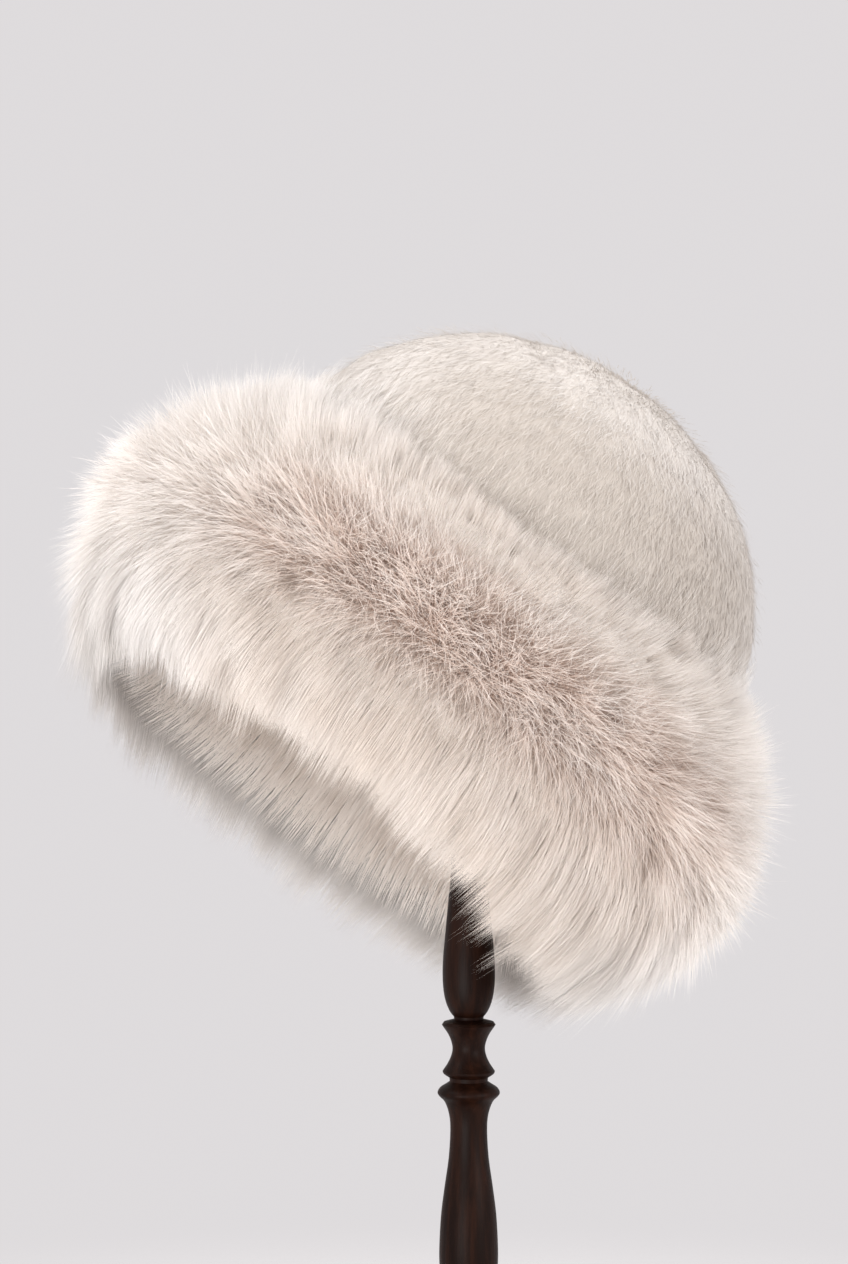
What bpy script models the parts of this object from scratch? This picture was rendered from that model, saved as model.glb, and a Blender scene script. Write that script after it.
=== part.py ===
"""Fur hat on a turned wooden hat stand.

The hat is a domed crown with a short pile and a wide brim with deep fur. It hangs tilted from the
rounded knob of the stand. Metres, +Z up, with the origin under the middle of the stand's foot, where
it rests. -Y is the hat's front. The hat is modelled upright in its own frame, whose origin is on its
axis at the seam between crown and brim, and an empty tilts it onto the knob.
"""

import math
from typing import NamedTuple

import bmesh
import bpy
from mathutils import Matrix, Vector

# Crown. Heights are measured from the seam, radii from the hat's axis.
HEAD_RADIUS = 0.0967  # inside the crown's wall
CROWN_SIDE = 0.004  # straight side of the crown, from the seam to where the dome begins
CROWN_RISE = 0.0833  # the dome's height inside the wall
CROWN_WALL = 0.004
CROWN_PILE = 0.018  # the short fur on the crown
CROWN_TUFT = 0.0008  # how far the pile's tufts stand above its mean surface

# Brim
BRIM_WALL = 0.006  # two pelts, back to back
BRIM_DROP = 0.088  # from the seam to the wall's lower edge
BRIM_FLARE = 0.030  # how far the lower edge stands outside the upper one
BRIM_SLOPE = 0.4  # share of the flare that is straight, the rest curves outward
BRIM_PILE = 0.039  # the fur's tips outside the wall's lower edge, at the widest place
CUFF_RISE = 0.018  # tips above the seam, where the fur leans on the crown
FRINGE_LENGTH = 0.035  # tips below the wall's lower edge
UNDERSIDE_PILE = 0.016  # fur on the inner side of the brim
UNDERSIDE_TOP = 0.024  # where that fur begins, below the seam
UNDERSIDE_TUFT = 0.002  # how far its tufts stand up
LOCK_DEPTH = 0.0055  # how far a lock's tip stands above the root of the next
LOCK_FURROW = 0.25  # share of that depth that is left in the furrow between two locks
LOCK_OVERHANG = 0.006  # how much further the locks at the two edges reach
CUFF_LIFT = 0.012  # largest change of the cuff's height round the brim
FRINGE_LIFT = 0.009  # largest change of the fringe's height round the brim

# How the hat sits on the stand
TILT = math.radians(36.7)  # of the hat's axis from upright
LEAN = math.radians(17.0)  # the way that it leans, from +X towards +Y
KNOB_TOP = 0.4795
SEAT_GAP = 0.0007  # between the knob and the inside of the crown

# Stand
KNOB_RADIUS = 0.028
KNOB_HEIGHT = 0.046
SPINDLE_RADIUS = 0.0138  # at its widest ring
FOOT_RADIUS = 0.098
FOOT_HEIGHT = 0.022
FOOT_LAND = 0.016  # radius of the flat place on which the spindle stands
FOOT_EDGE = 0.006  # upright edge of the foot
FOOT_LIP = 0.004  # narrow level rim inside that edge

CLEARANCE = 0.0003  # between pieces that touch
EDGE_ROUND = 0.0015  # small roundings on the crown's hem and the foot

# Numbers of faces
CROWN_SIDES = 40
CROWN_RINGS = 7
PILE_RINGS = 10
BRIM_STEPS = 4
LOCKS = 28  # in each row round the brim
TURNED_SIDES = 20
FOOT_SIDES = 36
FOOT_STEPS = 6  # across the slope of the foot

# Sizes that follow
CROWN_WALL_RADIUS = HEAD_RADIUS + CROWN_WALL
PILE_BACK_RADIUS = CROWN_WALL_RADIUS + CLEARANCE
PILE_RADIUS = PILE_BACK_RADIUS + CROWN_PILE
CUFF_RADIUS = PILE_RADIUS + CROWN_TUFT + CLEARANCE
BRIM_TIP_RADIUS = HEAD_RADIUS + BRIM_WALL + BRIM_FLARE + BRIM_PILE
FRINGE_DROP = BRIM_DROP + FRINGE_LENGTH
BRIM_SIDES = 2 * LOCKS
KNOB_FOOT = KNOB_TOP - KNOB_HEIGHT
SPINDLE_FOOT = FOOT_HEIGHT + CLEARANCE
SPINDLE_TOP = KNOB_FOOT - CLEARANCE


class Station(NamedTuple):
    """A point on the outline of the brim's fur, with the row of locks that it belongs to."""

    reach: float  # 0 at the crown's pile, 1 at the widest place
    fall: float  # 0 at the top of the cuff, 1 at the bottom of the fringe
    row: int
    rise: float  # how much of a lock's depth it has here


# Down the outside and round under the fringe. Above row 3 the locks point up, below it down.
OUTLINE = (
    Station(0.02, 0.00, 0, 1.0),
    Station(0.30, 0.025, 0, 0.8),
    Station(0.52, 0.09, 0, 0.2),
    Station(0.60, 0.125, 1, 1.0),
    Station(0.80, 0.23, 1, 0.2),
    Station(0.86, 0.27, 2, 1.0),
    Station(0.96, 0.36, 2, 0.3),
    Station(1.00, 0.45, 3, 0.3),
    Station(1.00, 0.56, 3, 1.0),
    Station(0.985, 0.60, 4, 0.1),
    Station(0.90, 0.71, 4, 1.0),
    Station(0.86, 0.74, 5, 0.1),
    Station(0.68, 0.86, 5, 1.0),
    Station(0.61, 0.88, 6, 0.1),
    Station(0.38, 0.98, 6, 1.0),
    Station(0.06, 1.00, 6, 1.0),
    Station(-0.12, 0.94, 7, 0.3),
)


class Tuft(NamedTuple):
    """A point on the fur of the brim's underside."""

    share: float  # of the wall's drop
    row: int
    rise: float  # how much of a tuft's height it has here


# From the fringe up to where the fur of the underside begins
UNDERSIDE = (
    Tuft(0.92, 8, 1.0),
    Tuft(0.62, 8, 0.0),
    Tuft(0.55, 9, 1.0),
)


class Lift(NamedTuple):
    """Height of the brim's fur at one place round the hat, as shares of the largest change."""

    degrees: float  # from +X, which is about the low side of the tilted hat
    cuff: float
    fringe: float


LIFTS = (
    Lift(0, 0.0, -0.2),
    Lift(90, 0.0, -0.35),
    Lift(180, 0.75, 0.4),
    Lift(270, -1.0, 1.0),
)


class Turning(NamedTuple):
    """A point on a turned profile."""

    height: float  # share of the piece's height, from its foot
    radius: float  # share of its largest radius


SPINDLE = (
    Turning(1.000, 0.56),
    Turning(0.800, 0.56),
    Turning(0.600, 0.575),
    Turning(0.563, 0.64),
    Turning(0.523, 0.75),
    Turning(0.497, 0.82),
    Turning(0.477, 0.84),
    Turning(0.460, 0.81),
    Turning(0.447, 0.73),
    Turning(0.437, 0.60),
    Turning(0.432, 0.48),
    Turning(0.429, 0.47),
    Turning(0.426, 0.80),
    Turning(0.423, 0.86),
    Turning(0.420, 0.80),
    Turning(0.413, 0.66),
    Turning(0.405, 0.56),
    Turning(0.397, 0.52),
    Turning(0.389, 0.57),
    Turning(0.381, 0.68),
    Turning(0.373, 0.84),
    Turning(0.370, 0.80),
    Turning(0.366, 0.62),
    Turning(0.362, 0.61),
    Turning(0.359, 0.74),
    Turning(0.355, 0.92),
    Turning(0.350, 1.00),
    Turning(0.346, 0.94),
    Turning(0.340, 0.77),
    Turning(0.327, 0.635),
    Turning(0.310, 0.59),
    Turning(0.280, 0.64),
    Turning(0.250, 0.765),
    Turning(0.220, 0.88),
    Turning(0.190, 0.935),
    Turning(0.165, 0.94),
    Turning(0.130, 0.86),
    Turning(0.095, 0.70),
    Turning(0.072, 0.62),
    Turning(0.060, 0.72),
    Turning(0.050, 0.98),
    Turning(0.036, 0.98),
    Turning(0.027, 0.78),
    Turning(0.000, 0.95),
)

KNOB = (
    Turning(1.000, 0.00),
    Turning(0.990, 0.22),
    Turning(0.955, 0.46),
    Turning(0.890, 0.69),
    Turning(0.790, 0.87),
    Turning(0.660, 0.98),
    Turning(0.540, 1.00),
    Turning(0.420, 0.94),
    Turning(0.310, 0.78),
    Turning(0.210, 0.56),
    Turning(0.120, 0.40),
    Turning(0.000, 0.36),
)


def clear_scene():
    """Removes what the startup file holds."""
    for thing in list(bpy.data.objects):
        bpy.data.objects.remove(thing, do_unlink=True)


def make_material(name, colour, roughness):
    """A plain finish with the piece's colour."""
    material = bpy.data.materials.new(name)
    material.use_nodes = True
    shader = material.node_tree.nodes["Principled BSDF"]
    shader.inputs["Base Color"].default_value = (*colour, 1.0)
    shader.inputs["Roughness"].default_value = roughness
    shader.inputs["Metallic"].default_value = 0.0
    return material


def add_object(name, mesh, material, collection, parent=None):
    """Puts a mesh into the collection as a named piece."""
    piece = bpy.data.objects.new(name, mesh)
    piece.data.materials.append(material)
    collection.objects.link(piece)
    piece.parent = parent
    return piece


def turned(name, profile, sides, material, collection, parent=None, closed=False):
    """A turned piece: its profile of (radius, height) runs down the outside and is spun round Z."""
    mesh = bpy.data.meshes.new(name)
    edges = [(i, i + 1) for i in range(len(profile) - 1)]
    if closed:
        edges.append((len(profile) - 1, 0))
    mesh.from_pydata([(radius, 0.0, height) for radius, height in profile], edges, [])
    piece = add_object(name, mesh, material, collection, parent)
    screw = piece.modifiers.new("spin", "SCREW")
    screw.axis = "Z"
    screw.angle = 2 * math.pi
    screw.steps = sides
    screw.render_steps = sides
    screw.use_merge_vertices = True
    screw.merge_threshold = 0.00001
    screw.use_smooth_shade = True
    return piece


def lofted(name, sections, material, collection, parent=None, closed=False):
    """A solid round Z through unlike sections, one for each direction, each a list of (radius, height).

    Closed sections make a ring. Open ones begin and end on the axis.
    """
    mesh_builder = bmesh.new()
    rings = []
    poles = {}
    for number, section in enumerate(sections):
        angle = 2 * math.pi * number / len(sections)
        ring = []
        for place, (radius, height) in enumerate(section):
            on_axis = not closed and place in (0, len(section) - 1)
            if on_axis and place in poles:
                ring.append(poles[place])
                continue
            spot = (radius * math.cos(angle), radius * math.sin(angle), height)
            corner = mesh_builder.verts.new(spot)
            if on_axis:
                poles[place] = corner
            ring.append(corner)
        rings.append(ring)
    for ring, after in zip(rings, rings[1:] + rings[:1]):
        steps = len(ring) if closed else len(ring) - 1
        for place in range(steps):
            onward = (place + 1) % len(ring)
            corners = (ring[place], ring[onward], after[onward], after[place])
            mesh_builder.faces.new(list(dict.fromkeys(corners)))
    bmesh.ops.recalc_face_normals(mesh_builder, faces=mesh_builder.faces[:])
    mesh = bpy.data.meshes.new(name)
    mesh_builder.to_mesh(mesh)
    mesh_builder.free()
    mesh.shade_smooth()
    return add_object(name, mesh, material, collection, parent)


def dome(radius, rise, rings):
    """A quarter of an ellipse from the top of the crown down to where its straight side begins."""
    turns = [math.pi / 2 * ring / rings for ring in range(rings + 1)]
    return [
        (radius * math.sin(turn), CROWN_SIDE + rise * math.cos(turn)) for turn in turns
    ]


def crown_wall_profile():
    """Down the outside of the crown's wall, across its hem and up the inside."""
    outside = dome(CROWN_WALL_RADIUS, CROWN_RISE + CROWN_WALL, CROWN_RINGS)
    inside = dome(HEAD_RADIUS, CROWN_RISE, CROWN_RINGS)
    rounding = min(EDGE_ROUND, 0.4 * CROWN_WALL)
    hem = [
        (CROWN_WALL_RADIUS, rounding),
        (CROWN_WALL_RADIUS - rounding, 0.0),
        (HEAD_RADIUS + rounding, 0.0),
        (HEAD_RADIUS, rounding),
    ]
    return outside + hem + inside[::-1]


def pile_sections():
    """The crown's short fur, a dome whose outer face stands up in low tufts."""
    back_rise = CROWN_RISE + CROWN_WALL + CLEARANCE
    back = dome(PILE_BACK_RADIUS, back_rise, CROWN_RINGS) + [(PILE_BACK_RADIUS, 0.0)]
    face = dome(PILE_RADIUS, back_rise + CROWN_PILE, PILE_RINGS)
    face += [(PILE_RADIUS, CROWN_SIDE / 2), (PILE_RADIUS, 0.0)]
    sections = []
    for side in range(CROWN_SIDES):
        section = [face[0]]
        for ring, (radius, height) in enumerate(face[1:], 1):
            tuft = CROWN_TUFT if (side + ring) % 2 else -CROWN_TUFT
            out = Vector((radius, height - CROWN_SIDE)).normalized()
            if ring == len(face) - 1:
                out = Vector((1.0, 0.0))
            section.append((radius + tuft * out.x, height + tuft * out.y))
        sections.append(section + back[::-1])
    return sections


def brim_wall_middle(share):
    """Middle of the brim's wall, at a share of its drop, and the direction that faces out of it."""
    curve = 1 - BRIM_SLOPE
    radius = HEAD_RADIUS + BRIM_WALL / 2
    radius += BRIM_FLARE * (BRIM_SLOPE * share + curve * share**2)
    slope = BRIM_FLARE * (BRIM_SLOPE + 2 * curve * share) / BRIM_DROP
    out = Vector((1.0, slope)).normalized()
    return Vector((radius, -CLEARANCE - BRIM_DROP * share)), out


def round_brim_wall(distance, first=0.0, last=0.0):
    """A line at this distance from the middle of the brim's wall: down outside, round, and up inside.

    first and last are the shares of the drop where it begins outside and ends inside.
    """
    down, up = [], []
    for step in range(BRIM_STEPS + 1):
        share = step / BRIM_STEPS
        middle, out = brim_wall_middle(first + (1 - first) * share)
        spot = middle + distance * out
        down.append((spot.x, spot.y if step else middle.y))
        middle, out = brim_wall_middle(last + (1 - last) * share)
        spot = middle - distance * out
        up.append((spot.x, spot.y if step else middle.y))
    middle, out = brim_wall_middle(1.0)
    onward = Vector((out.y, -out.x))
    turns = [math.pi * step / 4 for step in range(1, 4)]
    edge = [
        tuple(middle + distance * (math.cos(turn) * out + math.sin(turn) * onward))
        for turn in turns
    ]
    return down + edge + up[::-1]


def lift_at(angle):
    """(cuff, fringe) lifts in this direction, eased from one row of the table to the next."""
    degrees = math.degrees(angle) % 360
    rows = LIFTS + (LIFTS[0]._replace(degrees=360),)
    for row, after in zip(rows, rows[1:]):
        if degrees <= after.degrees:
            break
    share = (degrees - row.degrees) / (after.degrees - row.degrees)
    share = share * share * (3 - 2 * share)
    cuff = row.cuff + (after.cuff - row.cuff) * share
    fringe = row.fringe + (after.fringe - row.fringe) * share
    return cuff * CUFF_LIFT, fringe * FRINGE_LIFT


def fur_outline(angle, side):
    """The outline of the brim's fur in this direction, with its rows of locks."""
    cuff_lift, fringe_lift = lift_at(angle)
    top = CUFF_RISE + cuff_lift
    bottom = -FRINGE_DROP + fringe_lift
    span = BRIM_TIP_RADIUS - LOCK_DEPTH - CUFF_RADIUS
    mean = [
        Vector((CUFF_RADIUS + span * s.reach, top + (bottom - top) * s.fall))
        for s in OUTLINE
    ]
    points = []
    for place, station in enumerate(OUTLINE):
        before = mean[max(place - 1, 0)]
        after = mean[min(place + 1, len(mean) - 1)]
        along = (after - before).normalized()
        out = Vector((-along.y, along.x))
        ridge = (side + station.row) % 2 == 0
        depth = LOCK_DEPTH * station.rise * (1.0 if ridge else LOCK_FURROW)
        spot = mean[place] + depth * out
        if station.row in (0, 6) and station.rise == 1.0 and ridge:
            spot.y += LOCK_OVERHANG * (1 if station.row == 0 else -1)
        spot.x = max(spot.x, CUFF_RADIUS) if place < 2 else spot.x
        points.append(tuple(spot))
    return points


def brim_fur_sections():
    """The brim's deep fur: locks outside, fused to a backing that wraps the brim's wall."""
    backing = round_brim_wall(BRIM_WALL / 2 + CLEARANCE, 0.0, UNDERSIDE_TOP / BRIM_DROP)
    backing[0] = (backing[0][0], -2 * CLEARANCE)
    sections = []
    for side in range(BRIM_SIDES):
        angle = 2 * math.pi * side / BRIM_SIDES
        outline = fur_outline(angle, side)
        underside = []
        for tuft in UNDERSIDE:
            middle, out = brim_wall_middle(tuft.share)
            ridge = (side + tuft.row) % 2 == 0
            depth = UNDERSIDE_PILE + (UNDERSIDE_TUFT * tuft.rise if ridge else 0.0)
            underside.append(tuple(middle - (BRIM_WALL / 2 + depth) * out))
        shelf = [(CUFF_RADIUS, -2 * CLEARANCE)]
        sections.append(shelf + outline + underside + backing[::-1])
    return sections


def spun_profile(table, foot, top, radius):
    """A turned profile in metres from its table, closed to the axis at both ends."""
    points = [(row.radius * radius, foot + row.height * (top - foot)) for row in table]
    if points[0][0] > 0:
        points.insert(0, (0.0, top))
    return points + [(0.0, foot)]


def foot_profile():
    """The stand's round foot: a low dome with an upright edge, flat on top where the spindle stands."""
    shoulder = FOOT_RADIUS - FOOT_LIP
    points = [(0.0, FOOT_HEIGHT), (FOOT_LAND, FOOT_HEIGHT)]
    fall = FOOT_HEIGHT - FOOT_EDGE - EDGE_ROUND
    for step in range(1, FOOT_STEPS + 1):
        share = step / FOOT_STEPS
        radius = FOOT_LAND + (shoulder - FOOT_LAND) * share
        points.append((radius, FOOT_HEIGHT - fall * share * share))
    points += [
        (FOOT_RADIUS - EDGE_ROUND, FOOT_EDGE + EDGE_ROUND / 2),
        (FOOT_RADIUS, FOOT_EDGE - EDGE_ROUND / 2),
        (FOOT_RADIUS, EDGE_ROUND),
        (FOOT_RADIUS - EDGE_ROUND, 0.0),
        (0.0, 0.0),
    ]
    return points


def hat_seat(collection):
    """The empty that tilts the hat so that the crown's highest place inside lies on the knob."""
    towards = Vector((math.cos(LEAN), math.sin(LEAN), 0.0))
    turn = Matrix.Rotation(TILT, 4, Vector((0, 0, 1)).cross(towards))
    up = turn.inverted() @ Vector((0, 0, 1))
    stretched = Vector((HEAD_RADIUS**2 * up.x, HEAD_RADIUS**2 * up.y, CROWN_RISE**2 * up.z))
    length = math.sqrt(stretched.dot(up))
    highest = Vector((0, 0, CROWN_SIDE)) + stretched / length
    seat = bpy.data.objects.new("hat_seat", None)
    seat.empty_display_size = HEAD_RADIUS
    collection.objects.link(seat)
    place = Vector((0, 0, KNOB_TOP + SEAT_GAP)) - turn @ highest
    seat.matrix_world = Matrix.Translation(place) @ turn
    return seat


def build_hat(collection):
    """The four pieces of the hat, upright in their own frame and tilted by their empty."""
    pelt = make_material("pelt", (0.55, 0.42, 0.33), 0.8)
    short_fur = make_material("short_fur", (0.84, 0.78, 0.71), 0.9)
    long_fur = make_material("long_fur", (0.80, 0.71, 0.64), 0.9)
    seat = hat_seat(collection)
    turned("crown_wall", crown_wall_profile(), CROWN_SIDES, pelt, collection, seat)
    lofted("crown_fur", pile_sections(), short_fur, collection, seat)
    wall = round_brim_wall(BRIM_WALL / 2)
    turned("brim_wall", wall, BRIM_SIDES, pelt, collection, seat, closed=True)
    lofted("brim_fur", brim_fur_sections(), long_fur, collection, seat, closed=True)


def build_stand(collection):
    """Knob, spindle and foot, one above the other on the stand's axis."""
    wood = make_material("dark_wood", (0.018, 0.009, 0.006), 0.35)
    knob = spun_profile(KNOB, KNOB_FOOT, KNOB_TOP, KNOB_RADIUS)
    turned("stand_knob", knob, TURNED_SIDES, wood, collection)
    spindle = spun_profile(SPINDLE, SPINDLE_FOOT, SPINDLE_TOP, SPINDLE_RADIUS)
    turned("stand_spindle", spindle, TURNED_SIDES, wood, collection)
    turned("stand_foot", foot_profile(), FOOT_SIDES, wood, collection)


def main():
    """Builds the hat and its stand in one collection."""
    clear_scene()
    collection = bpy.data.collections.new("fur_hat_on_stand")
    bpy.context.scene.collection.children.link(collection)
    build_stand(collection)
    build_hat(collection)


main()
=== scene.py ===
"""Looks of a fur hat on a turned wooden stand.

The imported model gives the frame: metres, +Z up, the origin under the stand's foot. The hat is a domed
crown with a short pile and a wide brim with long fur. Each pelt is a smooth shell, each coat is a soft
underfur and thousands of hairs that stand on it, and the stand is turned from its profiles.
"""

import logging
import math
from dataclasses import dataclass
from enum import Enum
from typing import Callable, NamedTuple, Optional, Sequence, Union

import bpy
import numpy as np
from mathutils import Matrix, Vector


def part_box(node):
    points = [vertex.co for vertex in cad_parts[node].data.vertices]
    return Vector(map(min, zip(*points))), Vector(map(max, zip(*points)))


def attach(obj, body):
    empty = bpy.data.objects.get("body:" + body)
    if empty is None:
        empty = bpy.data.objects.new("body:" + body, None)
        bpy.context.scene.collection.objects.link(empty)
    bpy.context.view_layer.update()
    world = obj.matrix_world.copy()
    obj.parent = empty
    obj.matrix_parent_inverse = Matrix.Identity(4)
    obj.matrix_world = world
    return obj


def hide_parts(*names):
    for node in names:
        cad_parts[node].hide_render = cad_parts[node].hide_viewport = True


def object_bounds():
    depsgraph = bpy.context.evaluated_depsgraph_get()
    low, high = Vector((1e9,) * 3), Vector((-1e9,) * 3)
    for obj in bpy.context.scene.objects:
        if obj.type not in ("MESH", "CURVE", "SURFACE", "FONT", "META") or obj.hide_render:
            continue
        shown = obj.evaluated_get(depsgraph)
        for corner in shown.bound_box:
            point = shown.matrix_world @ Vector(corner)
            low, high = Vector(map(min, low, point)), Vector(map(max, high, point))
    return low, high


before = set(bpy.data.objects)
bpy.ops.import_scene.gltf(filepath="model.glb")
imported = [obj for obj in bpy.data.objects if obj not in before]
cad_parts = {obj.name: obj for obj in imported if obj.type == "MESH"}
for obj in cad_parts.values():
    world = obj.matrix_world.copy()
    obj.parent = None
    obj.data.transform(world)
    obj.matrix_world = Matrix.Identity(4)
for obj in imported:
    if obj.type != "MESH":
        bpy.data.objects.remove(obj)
cad_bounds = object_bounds()

log = logging.getLogger("fur_hat")

BODY = "root"
UV_NAME = "OFBake"
IMAGE_SIZE = (848, 1264)  # the photograph's pixels
FULL_TURN = 2 * math.pi
QUARTER_TURN = math.pi / 2

# A coat's UV map holds the way round the hat, and rows of hair, each from root to tip
HAIR_ROWS = 16
ROW_MARGIN = 0.03  # share of a row that is left free at each end
HAIR_HALF_WIDTH = 0.0004
MAP_EDGE = 0.001

Array = np.ndarray


# Materials


class Socket:
    """A number on its way through a material. Python's arithmetic on it adds Math nodes."""

    def __init__(self, nodes: "NodeMaker", link: bpy.types.NodeSocket) -> None:
        """Wraps a node's output.

        Args:
            nodes: the maker of the tree that the output belongs to.
            link: the output itself.
        """
        self.nodes = nodes
        self.link = link

    def combine(self, operation: str, first: "Value", second: "Value") -> "Socket":
        """Adds a Math node.

        Args:
            operation: the Math node's operation.
            first: its first value.
            second: its second value.

        Returns:
            The node's result.
        """
        settings = {"operation": operation}
        return self.nodes.add("ShaderNodeMath", settings, {0: first, 1: second})

    def __add__(self, other: "Value") -> "Socket":
        """The sum."""
        return self.combine("ADD", self, other)

    __radd__ = __add__

    def __sub__(self, other: "Value") -> "Socket":
        """The difference."""
        return self.combine("SUBTRACT", self, other)

    def __rsub__(self, other: "Value") -> "Socket":
        """The difference, with this number taken away."""
        return self.combine("SUBTRACT", other, self)

    def __mul__(self, other: "Value") -> "Socket":
        """The product."""
        return self.combine("MULTIPLY", self, other)

    __rmul__ = __mul__

    def __truediv__(self, other: "Value") -> "Socket":
        """The quotient."""
        return self.combine("DIVIDE", self, other)

    def __pow__(self, other: "Value") -> "Socket":
        """The power."""
        return self.combine("POWER", self, other)

    def floor(self) -> "Socket":
        """The whole number below."""
        return self.combine("FLOOR", self, 0.0)

    def fraction(self) -> "Socket":
        """What is left above the whole number below."""
        return self.combine("FRACT", self, 0.0)

    def ramp(self, low: float, high: float) -> "Socket":
        """Eases from 0 to 1 between two values.

        Args:
            low: where the ramp begins.
            high: where it ends.

        Returns:
            The eased share.
        """
        settings = {"interpolation_type": "SMOOTHSTEP"}
        return self.nodes.add(
            "ShaderNodeMapRange", settings, {0: self, 1: low, 2: high}
        )


Value = Union[float, Socket]
Colour = tuple[float, float, float]
ColourValue = Union[Colour, Socket]


class NodeMaker:
    """Builds one material round its Principled shader."""

    def __init__(self, name: str) -> None:
        """Starts a material.

        Args:
            name: the material's name.
        """
        self.material = bpy.data.materials.new(name)
        self.material.use_nodes = True
        self.tree = self.material.node_tree
        self.shader = self.tree.nodes["Principled BSDF"]

    def add(
        self,
        kind: str,
        settings: Optional[dict] = None,
        inputs: Optional[dict] = None,
        output: Union[int, str] = 0,
    ) -> Socket:
        """Adds a node.

        Args:
            kind: the node's type.
            settings: its properties, set before its sockets. "stops" are a ramp's places and colours.
            inputs: values or links by the socket's name or number.
            output: the name or number of the output that is wanted.

        Returns:
            That output.
        """
        node = self.tree.nodes.new(kind)
        for key, value in (settings or {}).items():
            if key == "stops":
                self.set_stops(node, value)
            else:
                setattr(node, key, value)
        for key, value in (inputs or {}).items():
            self.feed(node.inputs[key], value)
        return Socket(self, node.outputs[output])

    def set_stops(
        self, node: bpy.types.Node, stops: Sequence[tuple[float, Colour]]
    ) -> None:
        """Gives a ramp its stops.

        Args:
            node: the ColorRamp node.
            stops: places from 0 to 1 with their colours.
        """
        elements = node.color_ramp.elements
        while len(elements) < len(stops):
            elements.new(1.0)
        for element, (place, colour) in zip(elements, stops):
            element.position = place
            element.color = (*colour, 1.0)

    def feed(
        self, socket: bpy.types.NodeSocket, value: Union[Value, ColourValue]
    ) -> None:
        """Links or sets an input.

        Args:
            socket: the input.
            value: another node's output, a number, or a colour or vector of three numbers.
        """
        if isinstance(value, Socket):
            self.tree.links.new(value.link, socket)
        elif isinstance(value, tuple) and socket.type == "RGBA":
            socket.default_value = (*value, 1.0)
        else:
            socket.default_value = value

    def mix(self, share: Value, first: ColourValue, second: ColourValue) -> Socket:
        """Mixes two colours.

        Args:
            share: how much of the second there is.
            first: a colour.
            second: another colour.

        Returns:
            The mixed colour.
        """
        node = self.tree.nodes.new("ShaderNodeMix")
        node.data_type = "RGBA"
        colours = [socket for socket in node.inputs if socket.type == "RGBA"]
        self.feed(node.inputs[0], share)
        self.feed(colours[0], first)
        self.feed(colours[1], second)
        return Socket(self, next(socket for socket in node.outputs if socket.type == "RGBA"))

    def noise(
        self, place: Socket, scale: float, detail: float = 2.0, roughness: float = 0.5
    ) -> Socket:
        """A noise from 0 to 1.

        Args:
            place: the point where it is read.
            scale: how fine it is.
            detail: how many finer layers it has.
            roughness: how strong these are.

        Returns:
            The noise's value.
        """
        inputs = {"Vector": place, "Scale": scale, "Detail": detail, "Roughness": roughness}
        return self.add("ShaderNodeTexNoise", {}, inputs)

    def stretched(self, place: Socket, scale: tuple[float, float, float]) -> Socket:
        """Scales a point along its axes."""
        return self.add("ShaderNodeVectorMath", {"operation": "MULTIPLY"}, {0: place, 1: scale})

    def in_object(self) -> Socket:
        """The point in the object's own space, in metres."""
        return self.add("ShaderNodeTexCoord", output="Object")

    def bump(self, height: Socket, depth: float) -> Socket:
        """A normal from a height.

        Args:
            height: from 0 to 1.
            depth: in metres.

        Returns:
            The normal.
        """
        return self.add("ShaderNodeBump", {}, {"Height": height, "Distance": depth})

    def finish(self, **inputs: Union[Value, ColourValue]) -> bpy.types.Material:
        """Feeds the shader.

        Args:
            inputs: its sockets, with underscores for the spaces in their names.

        Returns:
            The finished material.
        """
        sockets = {socket.name.lower(): socket for socket in self.shader.inputs}
        for name, value in inputs.items():
            self.feed(sockets[name.replace("_", " ")], value)
        return self.material


class Shades(NamedTuple):
    """Colours of a hair at its root, half way and at its tip."""

    root: Colour
    middle: Colour
    tip: Colour


# Where the coat is darker along its parting, and where painted shade and painted light sit: down the
# coat and round the hat, as shares
PARTING = 0.47
PARTING_WIDTH = 0.27
FRONT_SHARE = 0.79
FRONT_WIDTH = 0.19
HALF_ROUND = 0.5
FULL_AT = 0.9  # where a soft spot's strength is full: 1 in its middle, 0 at its edge

# From where to where the painted shade and the painted light change, as shares of the way down the coat
SHADE_BELOW = (0.5, 0.75)
SHADE_ABOVE = (0.05, 0.3)
PAINTED_LIGHT_ROWS = (0.8, 0.95)

# Patches and streaks: how often they come in the UV map, and how their noise is spread
PATCH_SCALE = (26.0, 9.0, 1.0)
STREAK_SCALE = (1300.0, 46.0, 1.0)
BAND_PATCHES = (0.25, 0.7)
SHADE_PATCHES = (0.3, 0.7)
PALE_PATCHES = (0.4, 0.8)
STREAKS = (0.3, 0.7)
HAIR_STOPS = (0.0, 0.5, 0.9)  # root, middle and tip


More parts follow.
